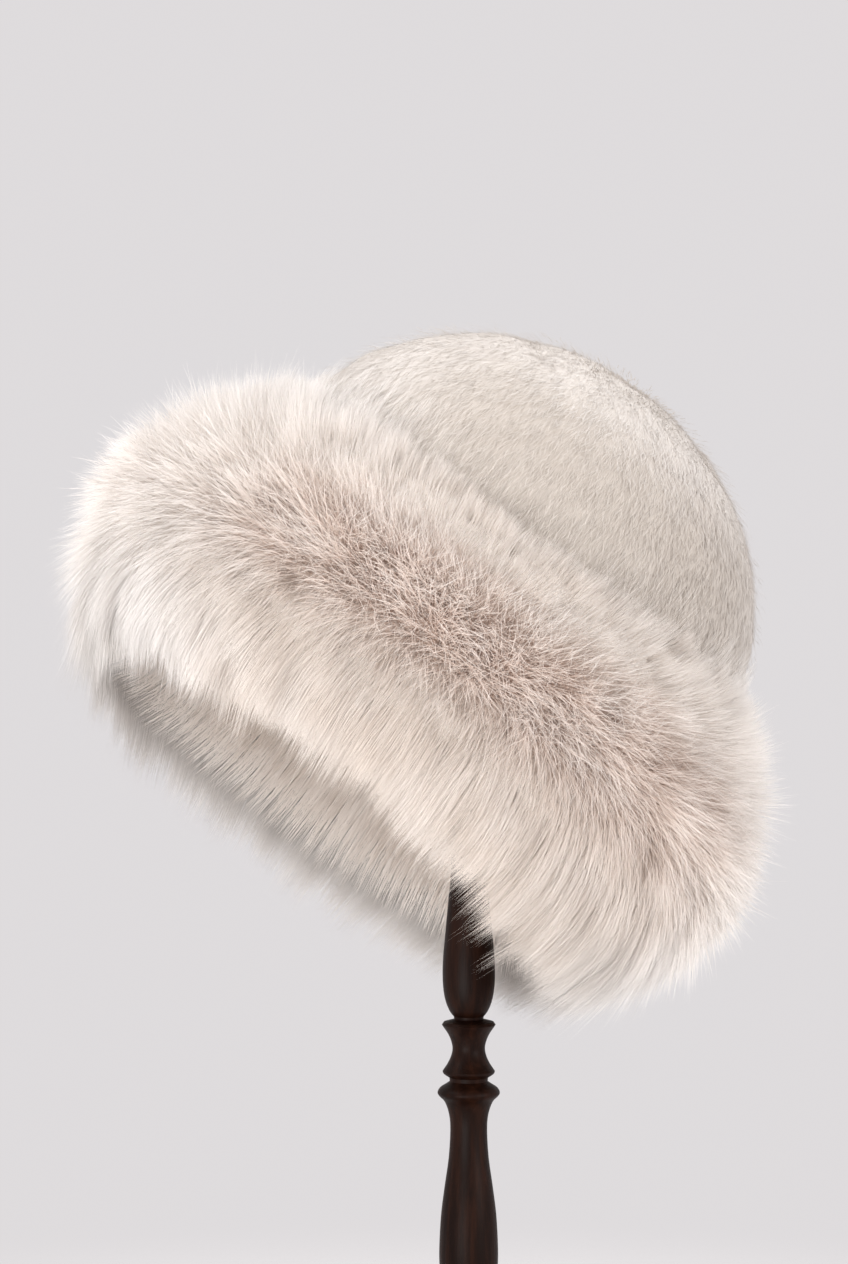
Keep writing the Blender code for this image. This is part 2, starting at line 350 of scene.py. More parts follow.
@dataclass(frozen=True)
class FurFinish:
    """Hair and underfur of one coat, coloured from root to tip and from place to place, with painted
    shade and painted light in places.
    """

    name: str
    fur: Shades
    band_and_shade: Shades  # darker colours: the brim's roots along its parting; painted shade on the crown's lower front and high in the underside
    band_least: float = 0.12  # share of the band's strength away from the front
    band_patches: float = 0.55  # how much the band changes from place to place
    parting: float = PARTING
    parting_width: float = PARTING_WIDTH
    front_shade: float = 0.0  # painted shade: share of the root's colour below the band, at the front
    front_shade_above: float = 0.45  # painted shade on the cuff's top rows: the same above the band, as a share of that below
    front_shade_even: float = 0.6  # share of it that doesn't change from place to place
    hem: float = 0.0  # painted light: share of the tip's pale colour along the lower edge, at the back
    painted_light_fade: float = 3.4  # how quickly that painted light fades away from the back
    pale_patches: float = 0.2  # strength of patches in the hair's middle colour
    nap: float = 0.0009  # metres of relief in the underfur

    def hair(self) -> bpy.types.Material:
        """The material of single hairs.

        Returns:
            A material that reads the way round, the place down the coat and the way from root to tip.
        """
        nodes = NodeMaker(self.name + "_hair")
        plan = nodes.add("ShaderNodeUVMap", {"uv_map": UV_NAME})
        around = nodes.add("ShaderNodeSeparateXYZ", {}, {0: plan}, "X")
        packed = nodes.add("ShaderNodeSeparateXYZ", {}, {0: plan}, "Y") * HAIR_ROWS
        down = packed.floor() / HAIR_ROWS
        colour = self.coat(nodes, around, down, packed.fraction())
        return nodes.finish(base_color=colour, roughness=0.8, specular_ior_level=0.12)

    def underfur(self) -> bpy.types.Material:
        """The material of the soft body under the hairs.

        Returns:
            A material that reads the way round and the way down the coat.
        """
        nodes = NodeMaker(self.name + "_underfur")
        plan = nodes.add("ShaderNodeUVMap", {"uv_map": UV_NAME})
        around = nodes.add("ShaderNodeSeparateXYZ", {}, {0: plan}, "X")
        down = nodes.add("ShaderNodeSeparateXYZ", {}, {0: plan}, "Y")
        streaks = nodes.noise(nodes.stretched(plan, STREAK_SCALE), 1.0, 3.0)
        share = streaks.ramp(*STREAKS)
        colour = self.coat(nodes, around, down, 0.05 + 0.45 * share)  # the lower half of a hair
        normal = nodes.bump(share, self.nap)
        return nodes.finish(
            base_color=colour, roughness=0.9, specular_ior_level=0.1, normal=normal
        )

    def coat(self, nodes: NodeMaker, around: Socket, down: Socket, along: Value) -> Socket:
        """The coat's colour, with painted shade and painted light in places.

        Args:
            nodes: the maker of the material.
            around: share of the way round the hat.
            down: share of the way down the coat.
            along: share of the way from root to tip.

        Returns:
            The colour.
        """
        pale, dark = (
            nodes.add("ShaderNodeValToRGB", {"stops": list(zip(HAIR_STOPS, row))}, {0: along})
            for row in (self.fur, self.band_and_shade)
        )
        place = nodes.add("ShaderNodeCombineXYZ", {}, {0: around, 1: down})
        patches = nodes.noise(nodes.stretched(place, PATCH_SCALE), 1.0, 3.0)
        # the darker colours: the real band along the brim's parting, and painted shade on the crown's
        # lower front and high in the underside
        parting = 1 - ((down - self.parting) * (1 / self.parting_width)) ** 2
        front = 1 - ((around - FRONT_SHARE) * (1 / FRONT_WIDTH)) ** 2
        near = front.ramp(0.0, FULL_AT)
        strength = parting.ramp(0.0, FULL_AT) * (self.band_least + (1 - self.band_least) * near)
        share = 1 - self.band_patches * (1 - patches.ramp(*BAND_PATCHES))
        tinted = nodes.mix(strength * share, pale, dark)
        # painted shade: the root's colour over the lower front rows and the cuff's top rows
        ends = down.ramp(*SHADE_BELOW) + self.front_shade_above * (1 - down.ramp(*SHADE_ABOVE))
        share = self.front_shade_even + (1 - self.front_shade_even) * patches.ramp(*SHADE_PATCHES)
        tinted = nodes.mix(ends * near * share * self.front_shade, tinted, self.fur.root)
        # painted light: the tip's pale colour along the lower edge at the back
        back = 1 - ((around - FRONT_SHARE + HALF_ROUND) * self.painted_light_fade) ** 2
        hem = down.ramp(*PAINTED_LIGHT_ROWS) * back.ramp(0.0, FULL_AT) * self.hem
        tinted = nodes.mix(hem, tinted, self.fur.tip)
        return nodes.mix(self.pale_patches * patches.ramp(*PALE_PATCHES), tinted, self.fur.middle)


@dataclass(frozen=True)
class PeltFinish:
    """The suede side of a pelt."""

    name: str
    light: Colour
    dark: Colour
    mottle: float = 45.0  # spots in a metre
    nap: float = 900.0
    relief: float = 0.0008  # in metres

    def material(self) -> bpy.types.Material:
        """Mottled suede with a short nap.

        Returns:
            The material.
        """
        nodes = NodeMaker(self.name)
        point = nodes.in_object()
        mottle = nodes.noise(point, self.mottle, 4.0)
        nap = nodes.noise(point, self.nap, 2.0)
        colour = nodes.mix(mottle.ramp(0.3, 0.7) * 0.7 + nap * 0.3, self.dark, self.light)
        normal = nodes.bump(nap * 0.5 + mottle * 0.5, self.relief)
        return nodes.finish(
            base_color=colour, roughness=0.92, specular_ior_level=0.15, normal=normal
        )


@dataclass(frozen=True)
class WoodFinish:
    """Dark stained hardwood under a satin lacquer."""

    name: str
    dark: Colour
    light: Colour
    grain: tuple[float, float, float]  # streaks in a metre, few of them along the wood's length
    clouds: float = 30.0  # changes of tone in a metre
    relief: float = 0.00025  # in metres

    def material(self) -> bpy.types.Material:
        """Streaks along the grain, pores, and slight changes of gloss.

        Returns:
            The material.
        """
        nodes = NodeMaker(self.name)
        point = nodes.in_object()
        streaks = nodes.noise(nodes.stretched(point, self.grain), 1.0, 4.0, 0.6)
        fine = nodes.noise(nodes.stretched(point, self.grain), 5.0, 3.0, 0.6)
        clouds = nodes.noise(point, self.clouds, 2.0)
        share = streaks.ramp(0.35, 0.75) * 0.7 + clouds * 0.25 + fine * 0.15
        colour = nodes.mix(share, self.dark, self.light)
        normal = nodes.bump(fine * 0.7 + streaks * 0.3, self.relief)
        return nodes.finish(
            base_color=colour,
            roughness=0.42 + 0.14 * clouds,
            specular_ior_level=0.07,
            coat_weight=0.05,
            coat_roughness=0.3,
            normal=normal,
        )


@dataclass(frozen=True)
class FloorFinish:
    """Pale floor that fades into the surroundings."""

    name: str
    colour: Colour
    clear_from: float  # radius where it begins to fade
    clear_at: float  # radius where it is gone

    def material(self) -> bpy.types.Material:
        """A matte floor, mixed to clear with its distance from the stand.

        Returns:
            The material.
        """
        nodes = NodeMaker(self.name)
        point = nodes.in_object()
        radius = nodes.add("ShaderNodeVectorMath", {"operation": "LENGTH"}, {0: point}, "Value")
        clear = nodes.add("ShaderNodeBsdfTransparent")
        nodes.finish(base_color=self.colour, roughness=0.9, specular_ior_level=0.1)
        solid = Socket(nodes, nodes.shader.outputs[0])
        share = radius.ramp(self.clear_from, self.clear_at)
        mixed = nodes.add("ShaderNodeMixShader", {}, {0: share, 1: solid, 2: clear})
        surface = nodes.tree.nodes["Material Output"].inputs["Surface"]
        nodes.tree.links.new(mixed.link, surface)
        return nodes.material


BRIM_FUR = FurFinish(
    name="brim",
    fur=Shades((0.79, 0.71, 0.64), (0.90, 0.84, 0.79), (0.945, 0.92, 0.895)),
    band_and_shade=Shades((0.42, 0.275, 0.215), (0.67, 0.50, 0.41), (0.95, 0.87, 0.81)),
    # painted shade at full strength over the lower front and the cuff's top rows
    front_shade=1.0,
    # painted light at full strength along the lower edge at the back
    hem=1.0,
)
CROWN_FUR = FurFinish(
    name="crown",
    fur=Shades((0.74, 0.695, 0.65), (0.765, 0.725, 0.685), (0.79, 0.76, 0.73)),
    # painted shade: darker colours over the crown's lower front, placed there by parting and
    # parting_width
    band_and_shade=Shades((0.555, 0.50, 0.445), (0.585, 0.53, 0.475), (0.62, 0.57, 0.52)),
    band_patches=0.15,
    parting=0.88,
    parting_width=0.45,
    nap=0.0002,
)
UNDERSIDE_FUR = FurFinish(
    name="underside",
    fur=Shades((0.92, 0.83, 0.75), (0.96, 0.89, 0.83), (0.98, 0.935, 0.89)),
    # painted shade: darker colours high in the underside, under the brim's edge
    band_and_shade=Shades((0.37, 0.27, 0.205), (0.45, 0.345, 0.27), (0.53, 0.425, 0.345)),
    band_least=1.0,
)
PELT = PeltFinish(name="pelt", light=(0.60, 0.48, 0.39), dark=(0.46, 0.35, 0.27))
WOOD = WoodFinish(
    name="dark_wood",
    dark=(0.0045, 0.0014, 0.0008),
    light=(0.025, 0.0084, 0.0041),
    grain=(260.0, 260.0, 16.0),
)
FLOOR = FloorFinish(name="pale_floor", colour=(0.70, 0.69, 0.69), clear_from=0.25, clear_at=0.62)


# Sizes


class Side(Enum):
    """Quarters of the hat, by the middle of each as degrees from +X of the hat's own frame."""

    LOW = 0
    BACK = 90
    HIGH = 180
    FRONT = 270


class Fan(NamedTuple):
    """A ray of the brim's fur, from where it is rooted to where it ends."""

    root: float  # share of the brim's drop
    reach: float  # of the tips: 0 at the crown's pile, 1 at the widest place
    fall: float  # of the tips: 0 at the top of the cuff, 1 at the bottom of the fringe


# Down the outside of the brim and round under the fringe
FAN = (
    Fan(0.00, 0.01, -0.05),
    Fan(0.06, 0.19, -0.02),
    Fan(0.15, 0.48, 0.06),
    Fan(0.28, 0.77, 0.20),
    Fan(0.44, 0.96, 0.35),
    Fan(0.58, 1.03, 0.47),
    Fan(0.70, 1.02, 0.59),
    Fan(0.80, 0.93, 0.73),
    Fan(0.89, 0.76, 0.86),
    Fan(0.96, 0.52, 0.98),
    Fan(1.00, 0.24, 1.06),
    Fan(1.00, -0.03, 1.05),
)


class Lift(NamedTuple):
    """Height of the brim's fur at one place round the hat, as shares of the largest change."""

    degrees: float  # from +X of the hat's own frame
    cuff: float
    fringe: float


LIFTS = (
    Lift(0, 0.0, -0.4),
    Lift(45, 0.0, -0.8),
    Lift(90, 0.0, -1.0),
    Lift(135, 0.15, -0.85),
    Lift(180, 0.3, -0.2),
    Lift(225, -0.2, 0.7),
    Lift(270, -1.0, 0.9),
    Lift(292, -0.8, 0.4),
    Lift(315, -0.5, -0.2),
    Lift(338, -0.2, -0.5),
    Lift(360, 0.0, -0.4),
)


def ease(share: Array) -> Array:
    """Softens a share's start and end."""
    return share * share * (3 - 2 * share)


def rising(value: Array, low: float, high: float) -> Array:
    """A share that grows from 0 at low to 1 at high."""
    return np.clip((value - low) / (high - low), 0, 1)


def directions(count: int) -> Array:
    """Directions all round, evenly spaced."""
    return np.linspace(0, FULL_TURN, count, endpoint=False)


def way_round(angle: Array) -> Array:
    """Share of the way round the hat of each direction."""
    return (angle / FULL_TURN) % 1.0


@dataclass(frozen=True)
class HatShape:
    """The hat's forms in its own frame: upright, with the origin on its axis at the crown's seam."""

    head_radius: float = 0.0967  # inside of the crown
    crown_side: float = 0.004  # straight stretch below the dome
    crown_rise: float = 0.0833  # of the dome's inside
    crown_wall: float = 0.004
    crown_pile: float = 0.018
    brim_wall: float = 0.006
    brim_drop: float = 0.088
    brim_flare: float = 0.030
    brim_slope: float = 0.4  # share of the flare that is straight
    brim_pile: float = 0.039
    cuff_rise: float = 0.018
    fringe_length: float = 0.035
    cuff_lift: float = 0.012  # largest change of the cuff's height
    fringe_lift: float = 0.014  # largest change of the fringe's height
    clearance: float = 0.0003
    tilt: float = math.radians(36.7)
    lean: float = math.radians(17.0)  # direction to which the hat tilts
    seat_gap: float = 0.0007

    @property
    def wall_radius(self) -> float:
        """Outside of the crown's wall."""
        return self.head_radius + self.crown_wall

    @property
    def pile_radius(self) -> float:
        """Outside of the crown's pile."""
        return self.wall_radius + self.clearance + self.crown_pile

    @property
    def tip_radius(self) -> float:
        """Tips of the brim's fur at the widest place."""
        return self.head_radius + self.brim_wall + self.brim_flare + self.brim_pile

    def seat(self) -> Matrix:
        """Where the hat lies on the knob.

        Returns:
            The matrix from the hat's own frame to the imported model's.
        """
        knob_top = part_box("stand_knob")[1][2]
        towards = Vector((math.cos(self.lean), math.sin(self.lean), 0.0))
        turn = Matrix.Rotation(self.tilt, 4, Vector((0, 0, 1)).cross(towards))
        up = turn.inverted() @ Vector((0, 0, 1))
        across, rise = self.head_radius**2, self.crown_rise**2
        stretched = Vector((across * up.x, across * up.y, rise * up.z))
        highest = Vector((0, 0, self.crown_side)) + stretched / math.sqrt(stretched.dot(up))
        place = Vector((0, 0, knob_top + self.seat_gap)) - turn @ highest
        return Matrix.Translation(place) @ turn

    def wall_middle(self, share: Array) -> tuple[Array, Array, Array, Array]:
        """The middle of the brim's wall.

        Args:
            share: of the brim's drop, for each point.

        Returns:
            Radius and height of each point, and radius and height of the direction out of the wall.
        """
        curve = 1 - self.brim_slope
        radius = self.head_radius + self.brim_wall / 2
        radius = radius + self.brim_flare * (self.brim_slope * share + curve * share**2)
        slope = self.brim_flare * (self.brim_slope + 2 * curve * share) / self.brim_drop
        length = np.sqrt(1 + slope**2)
        height = -self.clearance - self.brim_drop * share
        return radius, height, 1 / length, slope / length

    def lift(self, angle: Array) -> tuple[Array, Array]:
        """How much the cuff and the fringe are raised in each direction.

        Args:
            angle: the directions, from +X.

        Returns:
            The cuff's and the fringe's lifts.
        """
        degrees = np.degrees(angle) % 360
        places = np.array([entry.degrees for entry in LIFTS])
        row = np.clip(np.searchsorted(places, degrees, side="right") - 1, 0, len(LIFTS) - 2)
        share = ease((degrees - places[row]) / (places[row + 1] - places[row]))
        cuffs = np.array([entry.cuff for entry in LIFTS])
        fringes = np.array([entry.fringe for entry in LIFTS])
        cuff = cuffs[row] + (cuffs[row + 1] - cuffs[row]) * share
        fringe = fringes[row] + (fringes[row + 1] - fringes[row]) * share
        return cuff * self.cuff_lift, fringe * self.fringe_lift


def spline(rows: Array, places: Array) -> Array:
    """A smooth curve through evenly spaced rows of numbers.

    Args:
        rows: one row of numbers for each knot.
        places: from 0 at the first row to 1 at the last.

    Returns:
        One row for each place.
    """
    last = len(rows) - 1
    spot = np.clip(places, 0, 1) * last
    first = np.clip(spot.astype(int), 0, last - 1)
    t = (spot - first)[:, None]
    before, a = rows[np.maximum(first - 1, 0)], rows[first]
    b, after = rows[first + 1], rows[np.minimum(first + 2, last)]
    bend = 2 * before - 5 * a + 4 * b - after
    twist = 3 * a - before - 3 * b + after
    return 0.5 * (2 * a + (b - before) * t + bend * t**2 + twist * t**3)


WAVE_SIZES = (0.7, 1.6)  # shares of the usual distance between two hills


class Waves:
    """A smooth field of random hills over a flat map, made of a few dozen waves."""

    def __init__(self, rng: np.random.Generator, size: float, count: int = 28) -> None:
        """Draws the waves.

        Args:
            rng: the source of chance.
            size: how far apart the hills are.
            count: how many waves there are.
        """
        turns = rng.uniform(0, FULL_TURN, count)
        pace = FULL_TURN / (size * rng.uniform(*WAVE_SIZES, count))
        self.across = pace * np.cos(turns)
        self.down = pace * np.sin(turns)
        self.start = rng.uniform(0, FULL_TURN, count)
        self.scale = math.sqrt(2 / count)

    def at(self, across: Array, down: Array) -> Array:
        """The field's height, mostly between -1 and 1.

        Args:
            across: first coordinate of each point.
            down: second coordinate of each point.

        Returns:
            The heights.
        """
        total = np.zeros(np.shape(across))
        for a, d, start in zip(self.across, self.down, self.start):
            total += np.sin(a * across + d * down + start)
        return total * self.scale


class Tufts:
    """Tufts of hair over a flat map that is joined round its first axis, one to each cell of a grid."""

    def __init__(self, rng: np.random.Generator, size: float, around: float, down: float) -> None:
        """Places the tufts.

        Args:
            rng: the source of chance.
            size: how far apart the tufts are.
            around: length of the way round.
            down: length of the way down.
        """
        self.columns = max(round(around / size), 1)
        self.rows = math.ceil(down / size) + 2
        self.wide = around / self.columns
        self.tall = size
        self.spot = rng.uniform(0.1, 0.9, (self.columns, self.rows, 2))
        self.lean = rng.normal(0, 1, (self.columns, self.rows, 3))

    def nearest(self, across: Array, down: Array) -> tuple[Array, Array, Array]:
        """The tuft that each hair belongs to.

        Args:
            across: first coordinate of each hair.
            down: second coordinate of each hair.

        Returns:
            Both coordinates of each hair's tuft, and the tuft's three random leans.
        """
        column = np.floor(across / self.wide).astype(int)
        row = np.floor(down / self.tall).astype(int) + 1
        best = np.full(len(across), np.inf)
        middle = np.zeros((len(across), 2))
        lean = np.zeros((len(across), 3))
        for step in (-1, 0, 1):
            for drop in (-1, 0, 1):
                wrapped = (column + step) % self.columns
                level = np.clip(row + drop, 0, self.rows - 1)
                spot = self.spot[wrapped, level]
                x = (column + step + spot[:, 0]) * self.wide
                y = (level - 1 + spot[:, 1]) * self.tall
                far = (x - across) ** 2 + (y - down) ** 2
                closer = far < best
                best = np.where(closer, far, best)
                middle = np.where(closer[:, None], np.stack([x, y], axis=1), middle)
                lean = np.where(closer[:, None], self.lean[wrapped, level], lean)
        return middle[:, 0], middle[:, 1], lean


EVEN_STEPS = (0.7548776662, 0.5698402910)  # spread points evenly over a square
GOLDEN_ANGLE = math.pi * (3 - math.sqrt(5))  # spreads points evenly over a dome


def evenly(count: int) -> tuple[Array, Array]:
    """Points that fill a unit square evenly and in no pattern.

    Args:
        count: how many.

    Returns:
        Both coordinates.
    """
    across, down = ((0.5 + np.arange(count) * step) % 1.0 for step in EVEN_STEPS)
    return across, down


class Hairs(NamedTuple):
    """Many hairs, each a bent line from its root to its tip, in the hat's own frame."""

    root: Array
    bend: Array  # the control point that pulls the hair's middle
    tip: Array
    out: Array  # the way out of the coat
    around: Array  # share of the way round the hat
    down: Array  # share of the way down the coat


@dataclass(frozen=True)
class Cut:
    """How hairs are drawn as thin tapered strips."""

    width: float  # at the root
    start: float  # share of the hair that the underfur hides
    roll: float  # how unevenly the strips face out of the coat
    segments: int = 2
    widths: tuple[float, float] = (0.7, 1.25)  # thinnest and thickest hair, as shares of the width
    taper: float = 0.75  # share of the width that is lost towards the tip
    taper_power: float = 1.4


def unit(vectors: Array) -> Array:
    """Vectors of the same direction and length 1."""
    return vectors / np.maximum(np.linalg.norm(vectors, axis=-1, keepdims=True), 1e-9)


def polar(radius: Array, height: Array, angle: Array) -> Array:
    """Points from their radius, height and direction."""
    return np.stack([radius * np.cos(angle), radius * np.sin(angle), height], axis=-1)


def spun(radius: Array, height: Array, angle: Array) -> Array:
    """A profile's points in each direction, the way round first."""
    return polar(radius[None, :], height[None, :] + 0 * angle[:, None], angle[:, None])


def dress(
    name: str,
    mesh: bpy.types.Mesh,
    material: bpy.types.Material,
    replaced: Sequence[str] = (),
) -> bpy.types.Object:
    """Puts a mesh into the scene as a piece of the object.

    Args:
        name: the piece's name.
        mesh: its mesh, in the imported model's frame.
        material: its finish.
        replaced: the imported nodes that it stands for.

    Returns:
        The piece.
    """
    piece = bpy.data.objects.new(name, mesh)
    bpy.context.scene.collection.objects.link(piece)
    piece.data.materials.append(material)
    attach(piece, BODY)
    if replaced:
        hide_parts(*replaced)
    return piece


def surface(
    name: str, points: Array, closed: bool, seat: Matrix, down: Optional[Array] = None
) -> bpy.types.Mesh:
    """A smooth skin over a grid of points, joined round its first axis.

    Args:
        name: the mesh's name.
        points: a grid of points, the way round first and then down the section.
        closed: whether the section is a loop.
        seat: from the points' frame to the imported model's.
        down: for a coat, the share of the way down it of each point of the section.

    Returns:
        The mesh. With down, it has a UV map of the way round and the way down.
    """
    around, rows = points.shape[:2]
    number = np.arange(around * rows).reshape(around, rows)
    onward = np.roll(number, -1, axis=0)
    steps = rows if closed else rows - 1
    here, there = number[:, :steps], onward[:, :steps]
    below, beyond = np.roll(number, -1, 1)[:, :steps], np.roll(onward, -1, 1)[:, :steps]
    faces = np.stack([here, below, beyond, there], axis=-1).reshape(-1, 4)
    mesh = bpy.data.meshes.new(name)
    mesh.from_pydata(points.reshape(-1, 3), [], faces)
    mesh.transform(seat)
    if down is not None:
        turn = np.broadcast_to(np.arange(around)[:, None] / around, (around, steps))
        first = np.broadcast_to(down[:steps], (around, steps))
        second = np.broadcast_to(np.roll(down, -1)[:steps], (around, steps))
        on = turn + 1 / around
        corners = [(turn, first), (turn, second), (on, second), (on, first)]
        plan = np.stack([np.stack(corner, axis=-1) for corner in corners], axis=2)
        layer = mesh.uv_layers.new(name=UV_NAME)
        layer.data.foreach_set("uv", plan.astype(np.float32).ravel())
    mesh.shade_smooth()
    return mesh


def hair_mesh(
    name: str, hairs: Hairs, cut: Cut, seat: Matrix, rng: np.random.Generator
) -> bpy.types.Mesh:
    """Draws hairs as thin tapered strips of triangles.

    Args:
        name: the mesh's name.
        hairs: the hairs.
        cut: how they are drawn.
        seat: from the hairs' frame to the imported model's.
        rng: the source of chance.

    Returns:
        The mesh, with a UV map of the way round and the way from root to tip.
    """
    count = len(hairs.root)
    steps = np.linspace(0, 1, cut.segments + 1)
    shares = cut.start + (1 - cut.start) * steps
    t = shares[None, :, None]
    root, bend, tip = (part[:, None, :] for part in (hairs.root, hairs.bend, hairs.tip))
    line = (1 - t) ** 2 * root + 2 * t * (1 - t) * bend + t**2 * tip
    along = unit(2 * (1 - t) * (bend - root) + 2 * t * (tip - bend))
    facing = unit(hairs.out[:, None, :] + rng.normal(0, cut.roll, (count, 1, 3)))
    side = unit(np.cross(along, facing))
    taper = 1 - cut.taper * steps**cut.taper_power
    width = cut.width * rng.uniform(*cut.widths, (count, 1, 1)) * taper[None, :, None]
    edges = np.stack([line - side * width / 2, line + side * width / 2], axis=2)[:, :-1]
    points = np.concatenate([edges.reshape(count, -1, 3), line[:, -1:]], axis=1)
    per_hair = points.shape[1]
    strip = []
    for corner in range(0, per_hair - 3, 2):
        strip += [(corner, corner + 1, corner + 3), (corner, corner + 3, corner + 2)]
    strip.append((per_hair - 3, per_hair - 2, per_hair - 1))
    first = np.arange(count)[:, None, None] * per_hair
    faces = (first + np.array(strip)[None]).reshape(-1, 3)
    mesh = bpy.data.meshes.new(name)
    mesh.from_pydata(points.reshape(-1, 3), [], faces)
    mesh.transform(seat)
    row = np.floor(np.clip(hairs.down, 0, 0.9999) * HAIR_ROWS)
    grown = np.concatenate([np.repeat(shares[:-1], 2), shares[-1:]])
    v = (row[:, None] + ROW_MARGIN + (1 - 2 * ROW_MARGIN) * grown[None, :]) / HAIR_ROWS
    sides = np.concatenate([np.tile([-1.0, 1.0], cut.segments), [0.0]]) * HAIR_HALF_WIDTH
    u = np.clip(hairs.around[:, None], MAP_EDGE, 1 - MAP_EDGE) + sides[None, :]
    plan = np.stack([u, v], axis=-1).reshape(-1, 2)
    layer = mesh.uv_layers.new(name=UV_NAME)
    layer.data.foreach_set("uv", plan[faces.reshape(-1)].astype(np.float32).reshape(-1))
    mesh.shade_smooth()
    log.info("%s: %d triangles", name, len(faces))
    return mesh


# Coats


@dataclass(frozen=True)
class Comb:
    """How the hairs of a coat lie: in tufts, and each by itself. All are in metres."""

    tuft: float  # distance between two tufts
    wander: float  # how far a whole tuft leans aside
    stray: float  # how far one hair leans aside
    ragged: float  # how much the tips' depths differ
    scatter: float  # how far a root lies from its even place


@dataclass(frozen=True)
class GuardHairs:
    """The few long hairs that stand out of a coat."""

    share: float  # of all its hairs
    reach: float  # usual distance in metres, at most three times that

    def extra(self, count: int, rng: np.random.Generator) -> Array:
        """How far each hair stands out.

        Args:
            count: how many hairs the coat has.
            rng: the source of chance.

        Returns:
            The distances, 0 for most hairs.
        """
        reach = np.minimum(rng.exponential(self.reach, count), 3 * self.reach)
        return np.where(rng.random(count) < self.share, reach, 0)


@dataclass
class BrimCoat:
    """The long fur of the brim: a soft underfur and the hairs that stand on it."""

    shape: HatShape
    seat: Matrix
    body_depth: float = 0.64  # share of the fur's depth that is soft underfur
    body_parting: float = 0.02  # how much less there is of it along the parting
    body_hem: float = 0.16  # how much less there is of it at the fringe
    body_hem_from: float = 0.75  # share of the way down where it begins to thin out
    body_locks: float = 0.03  # how much its depth changes with the locks
    body_around: int = 160
    body_down: int = 30
    inside_depth: float = 0.015  # of the underfur on the brim's underside
    inside_top: float = 0.12  # share of the brim's drop where that begins
    hairs_each: int = 50000  # in each quarter
    seed: int = 100  # of the hairs
    lock_seed: int = 41
    cut: Cut = Cut(width=0.00029, start=0.5, roll=0.15)
    comb: Comb = Comb(tuft=0.0050, wander=0.0024, stray=0.0018, ragged=0.0017, scatter=0.0006)
    guard: GuardHairs = GuardHairs(share=0.12, reach=0.003)
    gather: float = 0.35  # share by which the hairs of a tuft close up at their tips
    fringe_gather: float = 0.75  # the same at the fringe
    lock_size: float = 0.026  # of the low waves in the coat
    lock_depth: float = 0.0030
    lock_lean: float = 0.0026
    lock_width: float = 0.0085  # of the pointed locks along the fringe
    lock_gather: float = 0.45
    lock_reach: float = 0.0045  # how unevenly these hang down
    inset: float = 0.003  # how far the usual tips lie inside the coat's outline
    fringe_from: float = 0.62  # share of the way down the coat where the fringe begins
    cuff_to: float = 0.2  # share of the way down where the cuff's upper edge ends
    cuff_calm: float = 0.25  # share of the tips' unevenness that is left at that edge
    feather: float = 0.005  # how unevenly the cuff's hairs reach up over the crown
    overlap: float = 0.02  # how far they reach at most
    overlap_lean: float = 0.3  # how much they lean in towards the crown there
    frizz: float = 0.0080  # extra lean of the hairs along the parting
    frizz_width: float = 0.16  # share of the way down the coat over which that fades
    frizz_height: float = 0.86  # share of the coat's depth where these hairs bend
    loose: float = 0.0016  # extra lean of the hairs towards the fringe
    curl: float = 0.20  # how much further the fringe's hairs stand out before they bend over
    comb_down: float = 0.022  # how far the hairs below the parting are combed down the coat
    comb_down_at: float = 0.70  # share of the way down where they are combed that far
    comb_up: float = 0.012  # how far those above it are combed up over the cuff
    comb_up_at: float = 0.25
    sag: float = 0.004  # how far the fringe's tips hang by their weight
    sag_least: float = 0.25  # share of that away from the fringe
    facing_level: float = 0.45  # share of the brim's drop from which the hairs face outwards

    def __post_init__(self) -> None:
        """Draws the coat's fields of locks."""
        rng = np.random.default_rng(self.lock_seed)
        self.deep = Waves(rng, self.lock_size)
        self.sideways = Waves(rng, self.lock_size)
        self.lengthwise = Waves(rng, self.lock_size * 1.4)
        self.table = np.array(FAN)
        round_trip = FULL_TURN * self.shape.tip_radius
        self.tufts = Tufts(rng, self.comb.tuft, round_trip, self.arc())
        self.locks = Tufts(rng, self.lock_width, round_trip, self.arc())

    def rows(self, down: Array, angle: Array) -> tuple[Array, Array, Array, Array, Array, Array]:
        """Roots and tips of the coat.

        Args:
            down: share of the way down the coat.
            angle: direction from the hat's axis.

        Returns:
            Radius and height of the roots and of the tips, and the way out of the wall at the roots.
        """
        shape = self.shape
        root, reach, fall = spline(self.table, down).T
        radius, height, out_r, out_h = shape.wall_middle(np.clip(root, 0, 1))
        offset = shape.brim_wall / 2
        cuff, fringe = shape.lift(angle)
        top = shape.cuff_rise + cuff
        bottom = -shape.brim_drop - shape.fringe_length + fringe
        tip_r = shape.pile_radius + (shape.tip_radius - shape.pile_radius) * reach
        tip_h = top + (bottom - top) * fall
        return radius + offset * out_r, height + offset * out_h, tip_r, tip_h, out_r, out_h

    def place(self, down: Array, angle: Array, depth: Array) -> tuple[Array, Array]:
        """Points of the coat.

        Args:
            down: share of the way down the coat.
            angle: direction from the hat's axis.
            depth: 0 at the roots and 1 at the tips.

        Returns:
            Radius and height of each point.
        """
        root_r, root_h, tip_r, tip_h, out_r, out_h = self.rows(down, angle)
        length = np.hypot(tip_r - root_r, tip_h - root_h) * self.rise(down)
        bend_r = root_r + out_r * length
        bend_h = root_h + out_h * length
        a, b, c = (1 - depth) ** 2, 2 * depth * (1 - depth), depth**2
        return a * root_r + b * bend_r + c * tip_r, a * root_h + b * bend_h + c * tip_h

    def rise(self, down: Array) -> Array:
        """How far hairs stand out before they bend over, as shares of their length."""
        return 0.5 + self.curl * ease(rising(down, 0.5, 0.9))

    def arc(self) -> float:
        """Measures the tips' outline down the coat.

        Returns:
            Its length in metres.
        """
        down = np.linspace(0, 1, 200)
        radius, height = self.place(down, np.zeros(200), np.ones(200))
        return float(np.hypot(np.diff(radius), np.diff(height)).sum())

